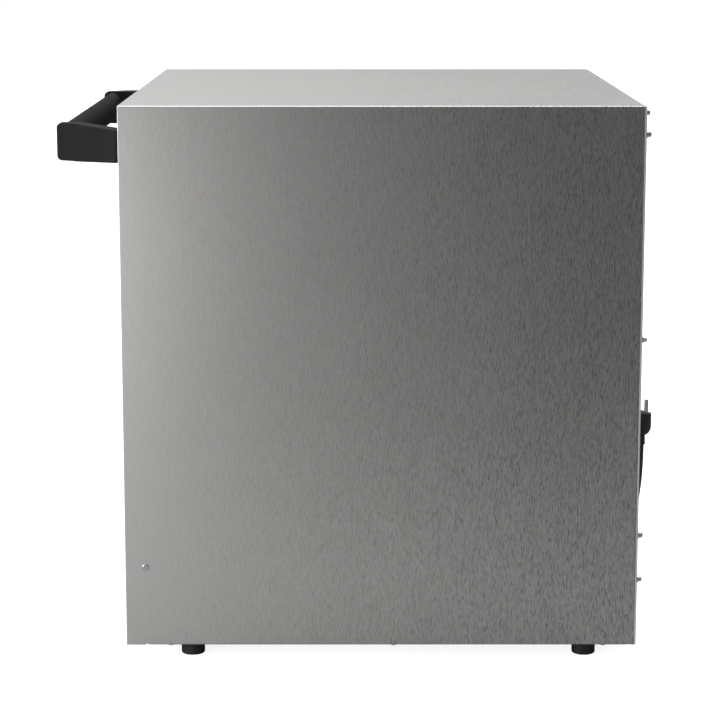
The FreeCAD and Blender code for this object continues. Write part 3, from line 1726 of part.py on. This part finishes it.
os.makedirs("parts", exist_ok=True)
for name, shape in shapes.items():
    shape.exportStep(os.path.join("parts", f"{name}.step"))
print(f"{len(shapes)} pieces written")
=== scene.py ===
"""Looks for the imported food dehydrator: materials, mains lead, fine detail, light and camera."""

import math

import bmesh
import bpy
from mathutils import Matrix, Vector


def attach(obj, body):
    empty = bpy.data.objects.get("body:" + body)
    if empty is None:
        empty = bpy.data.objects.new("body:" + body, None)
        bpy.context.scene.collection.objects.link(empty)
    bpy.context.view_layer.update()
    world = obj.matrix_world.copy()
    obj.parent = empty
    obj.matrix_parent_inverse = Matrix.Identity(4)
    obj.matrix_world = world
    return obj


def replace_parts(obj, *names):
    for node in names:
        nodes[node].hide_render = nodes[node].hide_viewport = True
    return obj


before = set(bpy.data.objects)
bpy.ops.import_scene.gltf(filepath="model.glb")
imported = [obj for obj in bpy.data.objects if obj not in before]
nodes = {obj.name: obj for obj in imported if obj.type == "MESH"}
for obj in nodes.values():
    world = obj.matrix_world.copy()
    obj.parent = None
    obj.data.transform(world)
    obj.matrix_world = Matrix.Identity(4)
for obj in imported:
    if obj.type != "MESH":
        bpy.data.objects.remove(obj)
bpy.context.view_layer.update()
scene = bpy.context.scene

# ---- camera

CAMERA_AT = (3.0163, 0.0005, 0.855)
CAMERA_TURN = (79.51, 0.0, 90.0)
CAMERA_LENS = 117.3

camera_data = bpy.data.cameras.new("camera")
camera_data.lens = CAMERA_LENS
camera_data.sensor_width = 36.0
camera = bpy.data.objects.new("camera", camera_data)
camera.location = CAMERA_AT
camera.rotation_euler = [math.radians(a) for a in CAMERA_TURN]
scene.collection.objects.link(camera)
scene.camera = camera


# ---- node materials

RANGE_SOCKETS = ("From Min", "From Max", "To Min", "To Max")


class Graph:
    """A material's node tree, with short calls for the nodes that the finishes use."""

    def __init__(self, name):
        self.material = bpy.data.materials.new(name)
        self.material.use_nodes = True
        self.tree = self.material.node_tree
        self.shader = self.tree.nodes["Principled BSDF"]
        self.shader.inputs["Specular IOR Level"].default_value = 0.5
        self.coords = self.add("ShaderNodeTexCoord").outputs["Object"]

    def add(self, kind, **settings):
        node = self.tree.nodes.new(kind)
        for key, setting in settings.items():
            setattr(node, key, setting)
        return node

    def link(self, source, socket):
        self.tree.links.new(source, socket)

    def stretched(self, across_x, across_y, across_z):
        """Object coordinates with each axis divided by a length in metres."""
        node = self.add("ShaderNodeMapping")
        node.inputs["Scale"].default_value = (1 / across_x, 1 / across_y, 1 / across_z)
        self.link(self.coords, node.inputs["Vector"])
        return node.outputs["Vector"]

    def noise(self, vector, scale=1.0, detail=2.0, roughness=0.5):
        node = self.add("ShaderNodeTexNoise")
        node.inputs["Scale"].default_value = scale
        node.inputs["Detail"].default_value = detail
        node.inputs["Roughness"].default_value = roughness
        self.link(vector, node.inputs["Vector"])
        return node.outputs["Fac"]

    def spread(self, source, low, high, to_low, to_high):
        """source from low..high to to_low..to_high, held at both ends."""
        node = self.add("ShaderNodeMapRange")
        for socket, number in zip(RANGE_SOCKETS, (low, high, to_low, to_high)):
            node.inputs[socket].default_value = number
        self.link(source, node.inputs["Value"])
        return node.outputs["Result"]

    def maths(self, operation, first, second):
        node = self.add("ShaderNodeMath", operation=operation)
        for socket, source in zip(node.inputs, (first, second)):
            if isinstance(source, float):
                socket.default_value = source
            else:
                self.link(source, socket)
        return node.outputs["Value"]

    def tint(self, factor, dark, light):
        """A colour between two, by factor."""
        node = self.add("ShaderNodeMix", data_type="RGBA")
        node.inputs["A"].default_value = (*dark, 1.0)
        node.inputs["B"].default_value = (*light, 1.0)
        self.link(factor, node.inputs["Factor"])
        return next(s for s in node.outputs if s.type == "RGBA")

    def bump(self, height, distance, strength):
        node = self.add("ShaderNodeBump")
        node.inputs["Distance"].default_value = distance
        node.inputs["Strength"].default_value = strength
        self.link(height, node.inputs["Height"])
        return node.outputs["Normal"]

    def set(self, **inputs):
        """Shader inputs by name, with underscores for spaces: a number, a colour or a socket."""
        for key, source in inputs.items():
            socket = self.shader.inputs[key.replace("_", " ")]
            if isinstance(source, bpy.types.NodeSocket):
                self.link(source, socket)
            else:
                socket.default_value = source
        return self.material


MM = 0.001
ACROSS_GRAIN = 3 * MM
# Along Y: where the painted shade on brushed sheet starts and where it is full, and its least
# share at the front.
SHADE_FROM, SHADE_TO = -0.26, 0.26
SHADE_LEAST = 0.15


def brushed(name, light, dark, grain, roughness, contrast):
    """Stainless sheet with a directional grain. grain gives each axis's streak size in metres.

    The dark streaks grow stronger from the front of the sheet to its rear: painted shade that
    darkens the rear, where the lamp's reflection fades."""
    g = Graph(name)
    fine = g.noise(g.stretched(*grain), detail=3.0, roughness=0.62)
    long_grain = [size * (0.55 if size < ACROSS_GRAIN else 4.0) for size in grain]
    hair = g.noise(g.stretched(*long_grain), detail=2.0, roughness=0.6)
    cloud = g.noise(g.coords, scale=7.0, detail=3.0)
    dark_line = g.spread(fine, 0.30, 0.52, 0.75, 0.0)
    level = g.maths("ADD", dark_line, g.spread(hair, 0.3, 0.7, 0.22, 0.0))
    level = g.maths("ADD", level, g.spread(cloud, 0.3, 0.7, 0.06, 0.0))
    split = g.add("ShaderNodeSeparateXYZ")
    g.link(g.coords, split.inputs[0])
    # Painted shade: the streaks' strength rises from the front to the rear of the sheet, darkening
    # the rear as the lamp's reflection fades.
    painted_streak_shade = g.spread(split.outputs["Y"], SHADE_FROM, SHADE_TO, contrast * SHADE_LEAST, contrast)
    rough = g.spread(fine, 0.3, 0.7, roughness + 0.05, roughness - 0.04)
    return g.set(
        Base_Color=g.tint(g.maths("MULTIPLY", level, painted_streak_shade), light, dark),
        Metallic=1.0,
        Roughness=rough,
        Normal=g.bump(fine, 0.03 * MM, 0.6),
    )


def sheet_metal(name, light, dark, roughness, metallic=1.0):
    """Mill-finish sheet: nearly even, with faint rolling lines and handling marks."""
    g = Graph(name)
    rolled = g.noise(g.stretched(20 * MM, 20 * MM, 1.2 * MM), detail=3.0)
    cloud = g.noise(g.coords, scale=9.0, detail=4.0)
    lines = g.spread(rolled, 0.3, 0.7, 0.6, 1.0)
    marks = g.spread(cloud, 0.3, 0.7, 0.7, 1.0)
    return g.set(
        Base_Color=g.tint(g.maths("MULTIPLY", lines, marks), dark, light),
        Metallic=metallic,
        Roughness=g.spread(cloud, 0.3, 0.7, roughness - 0.05, roughness + 0.08),
        Normal=g.bump(rolled, 0.02 * MM, 0.4),
    )


def bright_metal(name, light, dark, roughness):
    """Plated or polished small parts, with turning marks and faint tarnish."""
    g = Graph(name)
    marks = g.noise(g.coords, scale=900.0, detail=2.0)
    tarnish = g.noise(g.coords, scale=60.0, detail=4.0)
    return g.set(
        Base_Color=g.tint(g.spread(tarnish, 0.35, 0.65, 0.0, 1.0), dark, light),
        Metallic=1.0,
        Roughness=g.spread(marks, 0.3, 0.7, roughness - 0.04, roughness + 0.08),
    )


def moulded(name, light, dark, roughness, spark=0.04 * MM, size=1.1, specular=0.5):
    """Moulded plastic with a fine spark-eroded texture."""
    g = Graph(name)
    grain = g.noise(g.coords, scale=1000.0 / size, detail=2.0)
    cloud = g.noise(g.coords, scale=25.0, detail=3.0)
    return g.set(
        Base_Color=g.tint(g.spread(cloud, 0.3, 0.7, 0.0, 1.0), dark, light),
        Roughness=g.spread(grain, 0.3, 0.7, roughness - 0.05, roughness + 0.06),
        Specular_IOR_Level=specular,
        Normal=g.bump(grain, spark, 0.7),
    )


def rubbery(name, light, dark, roughness):
    """Rubber: dull, faintly dusty."""
    g = Graph(name)
    dust = g.noise(g.coords, scale=140.0, detail=5.0, roughness=0.65)
    grain = g.noise(g.coords, scale=1500.0, detail=2.0)
    return g.set(
        Base_Color=g.tint(g.spread(dust, 0.4, 0.7, 0.0, 1.0), dark, light),
        Roughness=g.spread(dust, 0.3, 0.7, roughness, roughness + 0.12),
        Normal=g.bump(grain, 0.03 * MM, 0.6),
    )


def door_glass_material():
    g = Graph("smoked_glass")
    smear = g.noise(g.coords, scale=14.0, detail=3.0)
    return g.set(
        Base_Color=g.tint(smear, (0.030, 0.032, 0.034), (0.045, 0.047, 0.050)),
        Roughness=g.spread(smear, 0.35, 0.7, 0.02, 0.06),
        Alpha=0.26,
        IOR=1.5,
    )


STEEL = (0.640, 0.632, 0.622)
STEEL_DARK = (0.215, 0.212, 0.207)
SHELL_GRAIN = (7.5 * MM, 0.60 * MM, 7.5 * MM)
FACE_GRAIN = (8 * MM, 8 * MM, 0.75 * MM)

shell_steel = brushed("shell_steel", STEEL, STEEL_DARK, SHELL_GRAIN, 0.36, 1.55)
face_steel = brushed("face_steel", STEEL, STEEL_DARK, FACE_GRAIN, 0.36, 0.7)
panel_steel = sheet_metal("panel_steel", (0.66, 0.665, 0.67), (0.50, 0.505, 0.51), 0.40)
rear_steel = sheet_metal("rear_steel", (0.78, 0.78, 0.775), (0.64, 0.64, 0.635), 0.42, 0.40)
cavity_steel = sheet_metal("cavity_steel", (0.64, 0.645, 0.65), (0.50, 0.50, 0.505), 0.30)
tray_steel = bright_metal("tray_steel", (0.74, 0.74, 0.75), (0.58, 0.58, 0.585), 0.24)
zinc = bright_metal("zinc_plate", (0.70, 0.70, 0.695), (0.46, 0.46, 0.455), 0.26)
nickel = bright_metal("pin_nickel", (0.78, 0.77, 0.74), (0.60, 0.59, 0.56), 0.16)
aluminium = bright_metal("fan_aluminium", (0.72, 0.725, 0.73), (0.55, 0.555, 0.56), 0.34)
motor_paint = moulded("motor_paint", (0.16, 0.165, 0.17), (0.11, 0.115, 0.12), 0.42)
element_metal = bright_metal("element_tube", (0.26, 0.245, 0.235), (0.14, 0.13, 0.125), 0.42)
handle_plastic = moulded(
    "handle_plastic", (0.0215, 0.0215, 0.022), (0.017, 0.017, 0.0175), 0.66, specular=0.10
)
# The bar's plastic is a darker copy of the handle plastic: painted shade, keeping the bar's top as
# dark as its sides under the overhead light.
shaded_bar_plastic = moulded(
    "shaded_bar_plastic", (0.013, 0.013, 0.0135), (0.010, 0.010, 0.0105), 0.62, specular=0.05
)
black_plastic = moulded("black_plastic", (0.030, 0.030, 0.031), (0.022, 0.022, 0.023), 0.40)
pale_plastic = moulded("pale_plastic", (0.80, 0.79, 0.75), (0.72, 0.71, 0.67), 0.42)
board_mask = moulded("board_mask", (0.035, 0.19, 0.085), (0.025, 0.15, 0.065), 0.30)
rubber = rubbery("black_rubber", (0.020, 0.020, 0.020), (0.009, 0.009, 0.009), 0.60)
seal_rubber = rubbery("seal_silicone", (0.10, 0.10, 0.10), (0.06, 0.06, 0.06), 0.50)
cord_skin = rubbery("cord_skin", (0.030, 0.030, 0.030), (0.017, 0.017, 0.017), 0.40)
magnet = moulded("magnet_ferrite", (0.060, 0.060, 0.062), (0.040, 0.040, 0.042), 0.55)
lens = moulded("display_lens", (0.012, 0.012, 0.015), (0.008, 0.008, 0.010), 0.08, 0.0, 1.0)
glass = door_glass_material()

FINISH = {
    shell_steel: ["outer_shell"],
    face_steel: ["control_fascia", "door_frame"],
    rear_steel: ["rear_panel"],
    panel_steel: ["base_plate", "motor_cover", "motor_bracket"],
    cavity_steel: [
        "front_frame",
        "chamber_wall_left",
        "chamber_wall_right",
        "chamber_rear_wall",
        "chamber_ceiling",
        "chamber_floor",
        "air_baffle",
        "door_inner_panel",
    ],
    tray_steel: [f"tray_{i:02d}" for i in range(1, 9)] + ["drip_tray"],
    zinc: [
        "foot_screws",
        "base_screws",
        "rear_screws",
        "door_pivot_screws",
        "handle_screws",
        "fan_nut",
        "fan_shaft",
    ],
    nickel: ["plug_pins"],
    aluminium: ["fan_blade"],
    motor_paint: ["fan_motor"],
    element_metal: ["heating_element", "temperature_probe"],
    handle_plastic: ["handle_bracket_left", "handle_bracket_right"],
    shaded_bar_plastic: ["handle_bar"],
    black_plastic: [
        "switch_housing",
        "switch_rocker",
        "cord_gland",
        "cord_hook",
        "cord_clip",
        "cord_tie",
        "door_bushes",
        "button_timer",
        "button_temperature",
        "button_minus",
        "button_plus",
    ],
    pale_plastic: ["terminal_block"],
    board_mask: ["control_board"],
    rubber: ["feet"],
    seal_rubber: ["door_seal"],
    cord_skin: ["power_cord", "cord_coil", "plug_body"],
    magnet: ["door_magnets"],
    lens: ["display_lens"],
    glass: ["door_glass"],
}


def paint(obj, material):
    obj.data.materials.clear()
    obj.data.materials.append(material)


for material, names in FINISH.items():
    for name in names:
        paint(nodes[name], material)


# ---- fine detail, in mesh code


def skin(name, shapes, material, body, smooth=40.0):
    """One piece from shapes, each a list of rings of points, closed by a face at either end or,
    for a shape given as (rings, True), by joining its last ring to its first."""
    points, faces = [], []
    for shape in shapes:
        rings, looped = shape if isinstance(shape, tuple) else (shape, False)
        first, count = len(points), len(rings[0])
        for ring in rings:
            points.extend(ring)
        for step in range(len(rings) if looped else len(rings) - 1):
            here, there = first + step * count, first + (step + 1) % len(rings) * count
            for n in range(count):
                after = (n + 1) % count
                faces.append((here + n, here + after, there + after, there + n))
        if not looped:
            faces.append(tuple(range(first, first + count)))
            faces.append(tuple(range(len(points) - count, len(points))))
    mesh = bpy.data.meshes.new(name)
    mesh.from_pydata(points, [], faces)
    work = bmesh.new()
    work.from_mesh(mesh)
    bmesh.ops.recalc_face_normals(work, faces=work.faces)
    for face in work.faces:
        face.smooth = True
    work.to_mesh(mesh)
    work.free()
    mesh.set_sharp_from_angle(angle=math.radians(smooth))
    piece = bpy.data.objects.new(name, mesh)
    scene.collection.objects.link(piece)
    mesh.materials.append(material)
    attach(piece, body)
    return piece


def box_of(points):
    low = Vector([min(p[i] for p in points) for i in range(3)])
    return low, Vector([max(p[i] for p in points) for i in range(3)])


def solids_in(name):
    """The world box of each separate solid in a CAD node."""
    node = nodes[name]
    work = bmesh.new()
    work.from_mesh(node.data)
    bmesh.ops.remove_doubles(work, verts=work.verts, dist=1e-6)
    left = set(work.verts)
    boxes = []
    while left:
        found = {left.pop()}
        frontier = list(found)
        while frontier:
            for link in frontier.pop().link_edges:
                for vert in link.verts:
                    if vert not in found:
                        found.add(vert)
                        frontier.append(vert)
        left -= found
        boxes.append(box_of([node.matrix_world @ v.co for v in found]))
    work.free()
    return sorted(boxes, key=lambda box: tuple(round(c, 5) for c in box[0]))


# The cross recess, as shares of the head's radius and height: half an arm's width, how much of
# that its floor has, the widest half angles of both, and the level of the floor.
ARM_HALF = 0.13
ARM_FLOOR = 0.62
ARM_TURN, FLOOR_TURN = 0.68, 0.42
RECESS_LEVEL = 0.40
RECESS_MIDDLE = 0.10
# Rings of a cross-recessed pan head: radius and height as shares, and whether the arms are cut in.
HEAD_RINGS = [
    (1.0, 0.0, False),
    (1.0, 0.62, False),
    (0.97, 0.76, False),
    (0.90, 0.87, False),
    (0.78, 0.945, False),
    (0.60, 0.985, False),
    (0.52, 0.99, True),
    (0.35, 1.0, True),
    (0.19, 1.0, True),
]


def head_ring(share):
    """The 24 angles of a ring, set so that the edges of the cross's arms run straight."""
    outer = min(math.asin(min(1.0, ARM_HALF / share)), ARM_TURN)
    inner = min(math.asin(min(1.0, ARM_HALF * ARM_FLOOR / share)), FLOOR_TURN)
    turns = []
    for quarter in range(4):
        for offset in (-outer, -inner, 0.0, inner, outer, math.pi / 4):
            turns.append((quarter * math.pi / 2 + offset, abs(offset) <= inner))
    return turns


def pan_head(base, out, radius, height):
    """A pan head standing on base and pointing along out, with a cross recess turned anyhow."""
    across = out.orthogonal().normalized()
    other = out.cross(across)
    tilt = 0.4 + 37.0 * (base.x + base.z)
    rings = []
    for share, level, cut_in in HEAD_RINGS + [(RECESS_MIDDLE, RECESS_LEVEL, False)]:
        ring = []
        for turn, in_arm in head_ring(share):
            high = RECESS_LEVEL if cut_in and in_arm else level
            u, v = math.cos(turn + tilt), math.sin(turn + tilt)
            ring.append(base + (across * u + other * v) * radius * share + out * height * high)
        rings.append(ring)
    return rings


def lathe(base, out, profile, count=24):
    """Rings round an axis from pairs of radius and distance along it."""
    across = out.orthogonal().normalized()
    other = out.cross(across)
    turns = [2 * math.pi * n / count for n in range(count)]
    return [
        [base + (across * math.cos(t) + other * math.sin(t)) * r + out * along for t in turns]
        for r, along in profile
    ]


def screw(low, high, out, head_height, head_radius, shank, washer=None):
    """A pan-head screw filling a CAD solid's box, with its plain washer if it has one."""
    middle = (low + high) / 2
    ends = [low.dot(out), high.dot(out)]
    tip, top = min(ends), max(ends)
    axis_point = middle - out * middle.dot(out)
    base = axis_point + out * (top - head_height)
    shapes = [pan_head(base, out, head_radius, head_height)]
    under = 0.0
    if washer:
        wide, under = washer
        slip = 0.25 * MM
        rim = [(wide - slip, -under), (wide, slip - under), (wide, -slip), (wide - slip, 0.0)]
        shapes.append(lathe(base, out, rim))
    reach = top - head_height - under - tip
    point = [(shank, -under), (shank, -under - reach + MM), (shank * 0.6, -under - reach)]
    shapes.append(lathe(base, out, point, 12))
    return shapes


HEAD_RADIUS = 3.4 * MM
SHANK = 1.7 * MM
PIVOT_SHANK = 2.4 * MM
REAR_HEAD, BASE_HEAD, PIVOT_HEAD = 4.0 * MM, 2.2 * MM, 2.0 * MM
WASHER = (4.4 * MM, 1.8 * MM)
rear_shapes, base_shapes, pivot_shapes = [], [], []
for low, high in solids_in("rear_screws"):
    rear_shapes += screw(low, high, Vector((0, 1, 0)), REAR_HEAD, HEAD_RADIUS, SHANK, WASHER)
for low, high in solids_in("base_screws"):
    base_shapes += screw(low, high, Vector((0, 0, -1)), BASE_HEAD, HEAD_RADIUS, SHANK)
for low, high in solids_in("door_pivot_screws"):
    out = Vector((math.copysign(1.0, low.x + high.x), 0, 0))
    pivot_shapes += screw(low, high, out, PIVOT_HEAD, (high.z - low.z) / 2, PIVOT_SHANK)
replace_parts(skin("rear_fixings", rear_shapes, zinc, "cabinet"), "rear_screws")
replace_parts(skin("base_fixings", base_shapes, zinc, "cabinet"), "base_screws")
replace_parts(skin("pivot_fixings", pivot_shapes, zinc, "cabinet"), "door_pivot_screws")

PLUG_AT = Vector((0.2475, 0.3389, 0.2793))
PLUG_TURN = math.radians(36.0)
# The plug's body: half widths along and across its flat side and the depth below its face.
PLUG_RINGS = [
    (14.3, 7.4, 0.0),
    (15.2, 8.3, 0.4),
    (15.5, 8.6, 1.4),
    (15.5, 8.6, 16.5),
    (15.0, 8.4, 19.5),
    (13.6, 8.0, 22.5),
    (11.2, 7.3, 25.3),
    (8.4, 6.4, 27.4),
    (5.6, 5.3, 28.5),
]
OVAL = 0.88
RELIEF_RIB, RELIEF_GROOVE = 5.35, 4.55
RELIEF_TOP, RELIEF_TIP = 28.3, 40.4
RIB_PITCH = 2.3
# How far the relief leans away from the panel: where it starts, and what it gains to its tip.
LEAN_TOP, LEAN_MORE = 0.36, 0.54


def plug_shapes():
    body, relief = [], []
    turns = [2 * math.pi * n / 40 for n in range(40)]
    for along, across, down in PLUG_RINGS:
        ring = []
        for t in turns:
            c, s = math.cos(t), math.sin(t)
            u = math.copysign(abs(c) ** OVAL, c) * along * MM
            v = math.copysign(abs(s) ** OVAL, s) * across * MM
            x = u * math.cos(PLUG_TURN) - v * math.sin(PLUG_TURN)
            y = u * math.sin(PLUG_TURN) + v * math.cos(PLUG_TURN)
            ring.append(PLUG_AT + Vector((x, y, -down * MM)))
        body.append(ring)
    levels = [(RELIEF_GROOVE, RELIEF_TOP)]
    for rib in range(5):
        start = RELIEF_TOP + 0.6 + RIB_PITCH * rib
        levels += [(RELIEF_GROOVE, start), (RELIEF_RIB, start + 0.25)]
        levels += [(RELIEF_RIB, start + 1.35), (RELIEF_GROOVE, start + 1.6)]
    levels.append((RELIEF_GROOVE, RELIEF_TIP))
    for radius, down in levels:
        lean = LEAN_TOP + LEAN_MORE * (down - RELIEF_TOP) / (RELIEF_TIP - RELIEF_TOP)
        centre = PLUG_AT + Vector((0, lean * MM, -down * MM))
        relief.append(
            [centre + Vector((math.cos(t), math.sin(t), 0)) * radius * MM for t in turns]
        )
    return [body, relief]


plug = skin("mains_plug", plug_shapes(), cord_skin, "cabinet", 50.0)
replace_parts(plug, "plug_body")

MARK_RAISE = 0.25 * MM


def mark_face(name):
    """The middle of a button's front face."""
    low, high = box_of([nodes[name].matrix_world @ v.co for v in nodes[name].data.vertices])
    return Vector(((low.x + high.x) / 2, low.y, (low.z + high.z) / 2))


def plate_mark(centre, outline):
    """A flat mark standing a little proud of a face that looks along -Y."""
    return [
        [centre + Vector((x * MM, y, z * MM)) for x, z in outline]
        for y in (-MARK_RAISE, MARK_RAISE)
    ]


def ring_mark(centre, outer, inner):
    turns = [2 * math.pi * n / 32 for n in range(32)]
    rings = [
        [centre + Vector((r * MM * math.cos(t), y, r * MM * math.sin(t))) for t in turns]
        for r, y in (
            (outer, -MARK_RAISE),
            (outer, MARK_RAISE),
            (inner, MARK_RAISE),
            (inner, -MARK_RAISE),
        )
    ]
    return (rings, True)


def bar(left, low, right, high):
    return [(left, low), (right, low), (right, high), (left, high)]


STROKE, HALF_STROKE = 3.2, 0.5
PLUS = [(STROKE, -HALF_STROKE), (STROKE, HALF_STROKE), (HALF_STROKE, HALF_STROKE)]
for _ in range(3):
    PLUS += [(-z, x) for x, z in PLUS[-3:]]
MARKS = {
    "button_plus": lambda at: [plate_mark(at, PLUS)],
    "button_minus": lambda at: [plate_mark(at, bar(-STROKE, -HALF_STROKE, STROKE, HALF_STROKE))],
    "button_timer": lambda at: [
        ring_mark(at, 3.6, 2.9),
        plate_mark(at, bar(-0.35, -0.35, 0.35, 2.3)),
        plate_mark(at, bar(0.45, -0.35, 1.9, 0.35)),
    ],
    "button_temperature": lambda at: [
        ring_mark(at + Vector((0, 0, -2.0 * MM)), 1.7, 0.9),
        plate_mark(at, bar(-0.5, -0.2, 0.5, 3.4)),
    ],
}
for button, shapes in MARKS.items():
    skin(f"{button}_mark", shapes(mark_face(button)), pale_plastic, button)


# ---- mains lead

CORD_DIAMETER = 0.007
COIL_CENTRE = (0.098, 0.160)
TURN_POINTS = 16
INNER, OUTER = 0.0345, 0.0415
BACK, MIDDLE, FRONT = 0.3310, 0.3380, 0.3450
# The places in the bundle that the lead fills, turn by turn, and where in its turn it leaves
# each one.
PLACES = [
    (OUTER, FRONT),
    (INNER, FRONT),
    (INNER, MIDDLE),
    (INNER, BACK),
    (OUTER, BACK),
    (OUTER, MIDDLE),
]
LEAVES = [0.82, 0.69, 0.56, 0.43, 0.30]
SHIFT = 0.12
LAST_TURN = 5.20

entry = [(0.0600, 0.3400, 0.2170), (0.0601, 0.3410, 0.1990), (0.0604, 0.3440, 0.1790)]
hanging = [
    (0.1120, 0.3372, 0.1180),
    (0.1380, 0.3345, 0.1160),
    (0.1640, 0.3322, 0.1126),
    (0.1900, 0.3317, 0.1145),
    (0.2136, 0.3321, 0.1255),
    (0.2303, 0.3340, 0.1454),
    (0.2395, 0.3372, 0.1730),
    (0.2446, 0.3399, 0.2050),
    (0.2475, 0.3400, 0.2392),
]


def place_at(turn):
    """The lead's radius and depth in the bundle after so many turns."""
    radius, depth = PLACES[0]
    for number, leaving in enumerate(LEAVES):
        t = min(max((turn - number - leaving) / SHIFT, 0.0), 1.0)
        t = t * t * (3 - 2 * t)
        radius += (PLACES[number + 1][0] - PLACES[number][0]) * t
        depth += (PLACES[number + 1][1] - PLACES[number][1]) * t
    return radius, depth


def coil_points():
    """The coil's turns, entered at its left side going down and left at its foot going right."""
    points = []
    cut_in = (3 + math.cos(2 * math.pi / TURN_POINTS)) / 4
    for step in range(1, int(LAST_TURN * TURN_POINTS) + 1):
        radius, depth = place_at(step / TURN_POINTS)
        angle = math.pi + 2 * math.pi * step / TURN_POINTS
        radius /= cut_in
        points.append(
            (
                COIL_CENTRE[0] + radius * math.cos(angle),
                depth,
                COIL_CENTRE[1] + radius * math.sin(angle),
            )
        )
    return points


def nurbs_tube(name, points, radius, material, body):
    curve = bpy.data.curves.new(name, "CURVE")
    curve.dimensions = "3D"
    curve.bevel_depth = radius
    curve.bevel_resolution = 5
    curve.use_fill_caps = True
    curve.resolution_u = 8
    spline = curve.splines.new("NURBS")
    spline.points.add(len(points) - 1)
    for control, point in zip(spline.points, points):
        control.co = (*point, 1.0)
    spline.order_u = 3
    spline.use_endpoint_u = True
    piece = bpy.data.objects.new(name, curve)
    scene.collection.objects.link(piece)
    curve.materials.append(material)
    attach(piece, body)
    return piece


lead_points = entry + coil_points() + hanging
lead = nurbs_tube("mains_lead", lead_points, CORD_DIAMETER / 2, cord_skin, "cabinet")
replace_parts(lead, "power_cord", "cord_coil")


# ---- floor and light

FLOOR_REACH = 20
FLOOR_SEEN = 0.80
FLOOR_GLOW = 0.86
# What the floor throws back onto the object: distances from its middle, and the shade at each.
BOUNCE_FADE = (0.45, 1.7, 0.42, 0.18)

floor_mesh = bpy.data.meshes.new("floor")
corners = ((-1, -1), (1, -1), (1, 1), (-1, 1))
floor_mesh.from_pydata(
    [(x * FLOOR_REACH, y * FLOOR_REACH, 0) for x, y in corners], [], [(0, 1, 2, 3)]
)
floor = bpy.data.objects.new("floor", floor_mesh)
scene.collection.objects.link(floor)

floor_material = bpy.data.materials.new("floor_paint")
floor_material.use_nodes = True
tree = floor_material.node_tree
tree.nodes.clear()
output = tree.nodes.new("ShaderNodeOutputMaterial")
pick = tree.nodes.new("ShaderNodeMixShader")
lit = tree.nodes.new("ShaderNodeAddShader")
seen = tree.nodes.new("ShaderNodeBsdfDiffuse")
seen.inputs["Color"].default_value = (FLOOR_SEEN, FLOOR_SEEN, FLOOR_SEEN, 1)
glow = tree.nodes.new("ShaderNodeEmission")
glow.inputs["Strength"].default_value = FLOOR_GLOW
bounced = tree.nodes.new("ShaderNodeBsdfDiffuse")
position = tree.nodes.new("ShaderNodeTexCoord")
distance = tree.nodes.new("ShaderNodeVectorMath")
distance.operation = "LENGTH"
fade = tree.nodes.new("ShaderNodeMapRange")
for socket, number in zip(RANGE_SOCKETS, BOUNCE_FADE):
    fade.inputs[socket].default_value = number
tree.links.new(position.outputs["Object"], distance.inputs[0])
tree.links.new(distance.outputs["Value"], fade.inputs["Value"])
tree.links.new(fade.outputs["Result"], bounced.inputs["Color"])
path = tree.nodes.new("ShaderNodeLightPath")
tree.links.new(seen.outputs[0], lit.inputs[0])
tree.links.new(glow.outputs[0], lit.inputs[1])
tree.links.new(path.outputs["Is Camera Ray"], pick.inputs[0])
tree.links.new(bounced.outputs[0], pick.inputs[1])
tree.links.new(lit.outputs[0], pick.inputs[2])
tree.links.new(pick.outputs[0], output.inputs["Surface"])
paint(floor, floor_material)

world = bpy.data.worlds.new("studio")
scene.world = world
world.use_nodes = True
tree = world.node_tree
tree.nodes.clear()
output = tree.nodes.new("ShaderNodeOutputWorld")
pick = tree.nodes.new("ShaderNodeMixShader")
path = tree.nodes.new("ShaderNodeLightPath")
white = tree.nodes.new("ShaderNodeBackground")
white.inputs["Color"].default_value = (1, 1, 1, 1)
room = tree.nodes.new("ShaderNodeBackground")
direction = tree.nodes.new("ShaderNodeTexCoord")
split = tree.nodes.new("ShaderNodeSeparateXYZ")
tree.links.new(direction.outputs["Generated"], split.inputs[0])


def ramp(source, low, high, to_low, to_high):
    node = tree.nodes.new("ShaderNodeMapRange")
    node.interpolation_type = "SMOOTHSTEP"
    for socket, number in zip(RANGE_SOCKETS, (low, high, to_low, to_high)):
        node.inputs[socket].default_value = number
    tree.links.new(source, node.inputs["Value"])
    return node.outputs["Result"]


def combine(operation, first, second):
    node = tree.nodes.new("ShaderNodeMath")
    node.operation = operation
    tree.links.new(first, node.inputs[0])
    tree.links.new(second, node.inputs[1])
    return node.outputs["Value"]


overhead = ramp(split.outputs["Z"], 0.30, 0.95, 0.0, 0.75)
side_glow = ramp(split.outputs["Y"], -0.60, 0.12, 0.55, 0.01)
front_glow = ramp(split.outputs["Y"], -0.98, -0.72, 0.40, 0.0)
rear_glow = ramp(split.outputs["Y"], 0.50, 0.92, 0.0, 0.70)
far_glow = ramp(split.outputs["X"], -0.9, 0.1, 0.80, 0.0)
total = combine("ADD", combine("MAXIMUM", side_glow, far_glow), overhead)
total = combine("ADD", total, combine("ADD", front_glow, rear_glow))
tree.links.new(total, room.inputs["Strength"])
tree.links.new(path.outputs["Is Camera Ray"], pick.inputs[0])
tree.links.new(room.outputs[0], pick.inputs[1])
tree.links.new(white.outputs[0], pick.inputs[2])
tree.links.new(pick.outputs[0], output.inputs["Surface"])


def softbox(name, at, towards, wide, high, power):
    data = bpy.data.lights.new(name, "AREA")
    data.shape = "RECTANGLE"
    data.size = wide
    data.size_y = high
    data.energy = power
    light = bpy.data.objects.new(name, data)
    light.location = at
    light.rotation_euler = (Vector(towards) - Vector(at)).to_track_quat("-Z", "Y").to_euler()
    light.visible_camera = False
    scene.collection.objects.link(light)


softbox("front_left_box", (1.55, -0.95, 0.345), (1.45, 0.2, 0.37), 1.9, 0.60, 16.8)
softbox("top_box", (0.0, 0.0, 2.4), (0.0, 0.0, 0.0), 2.4, 2.4, 31.5)

# ---- output

scene.view_settings.view_transform = "Standard"
scene.view_settings.look = "None"
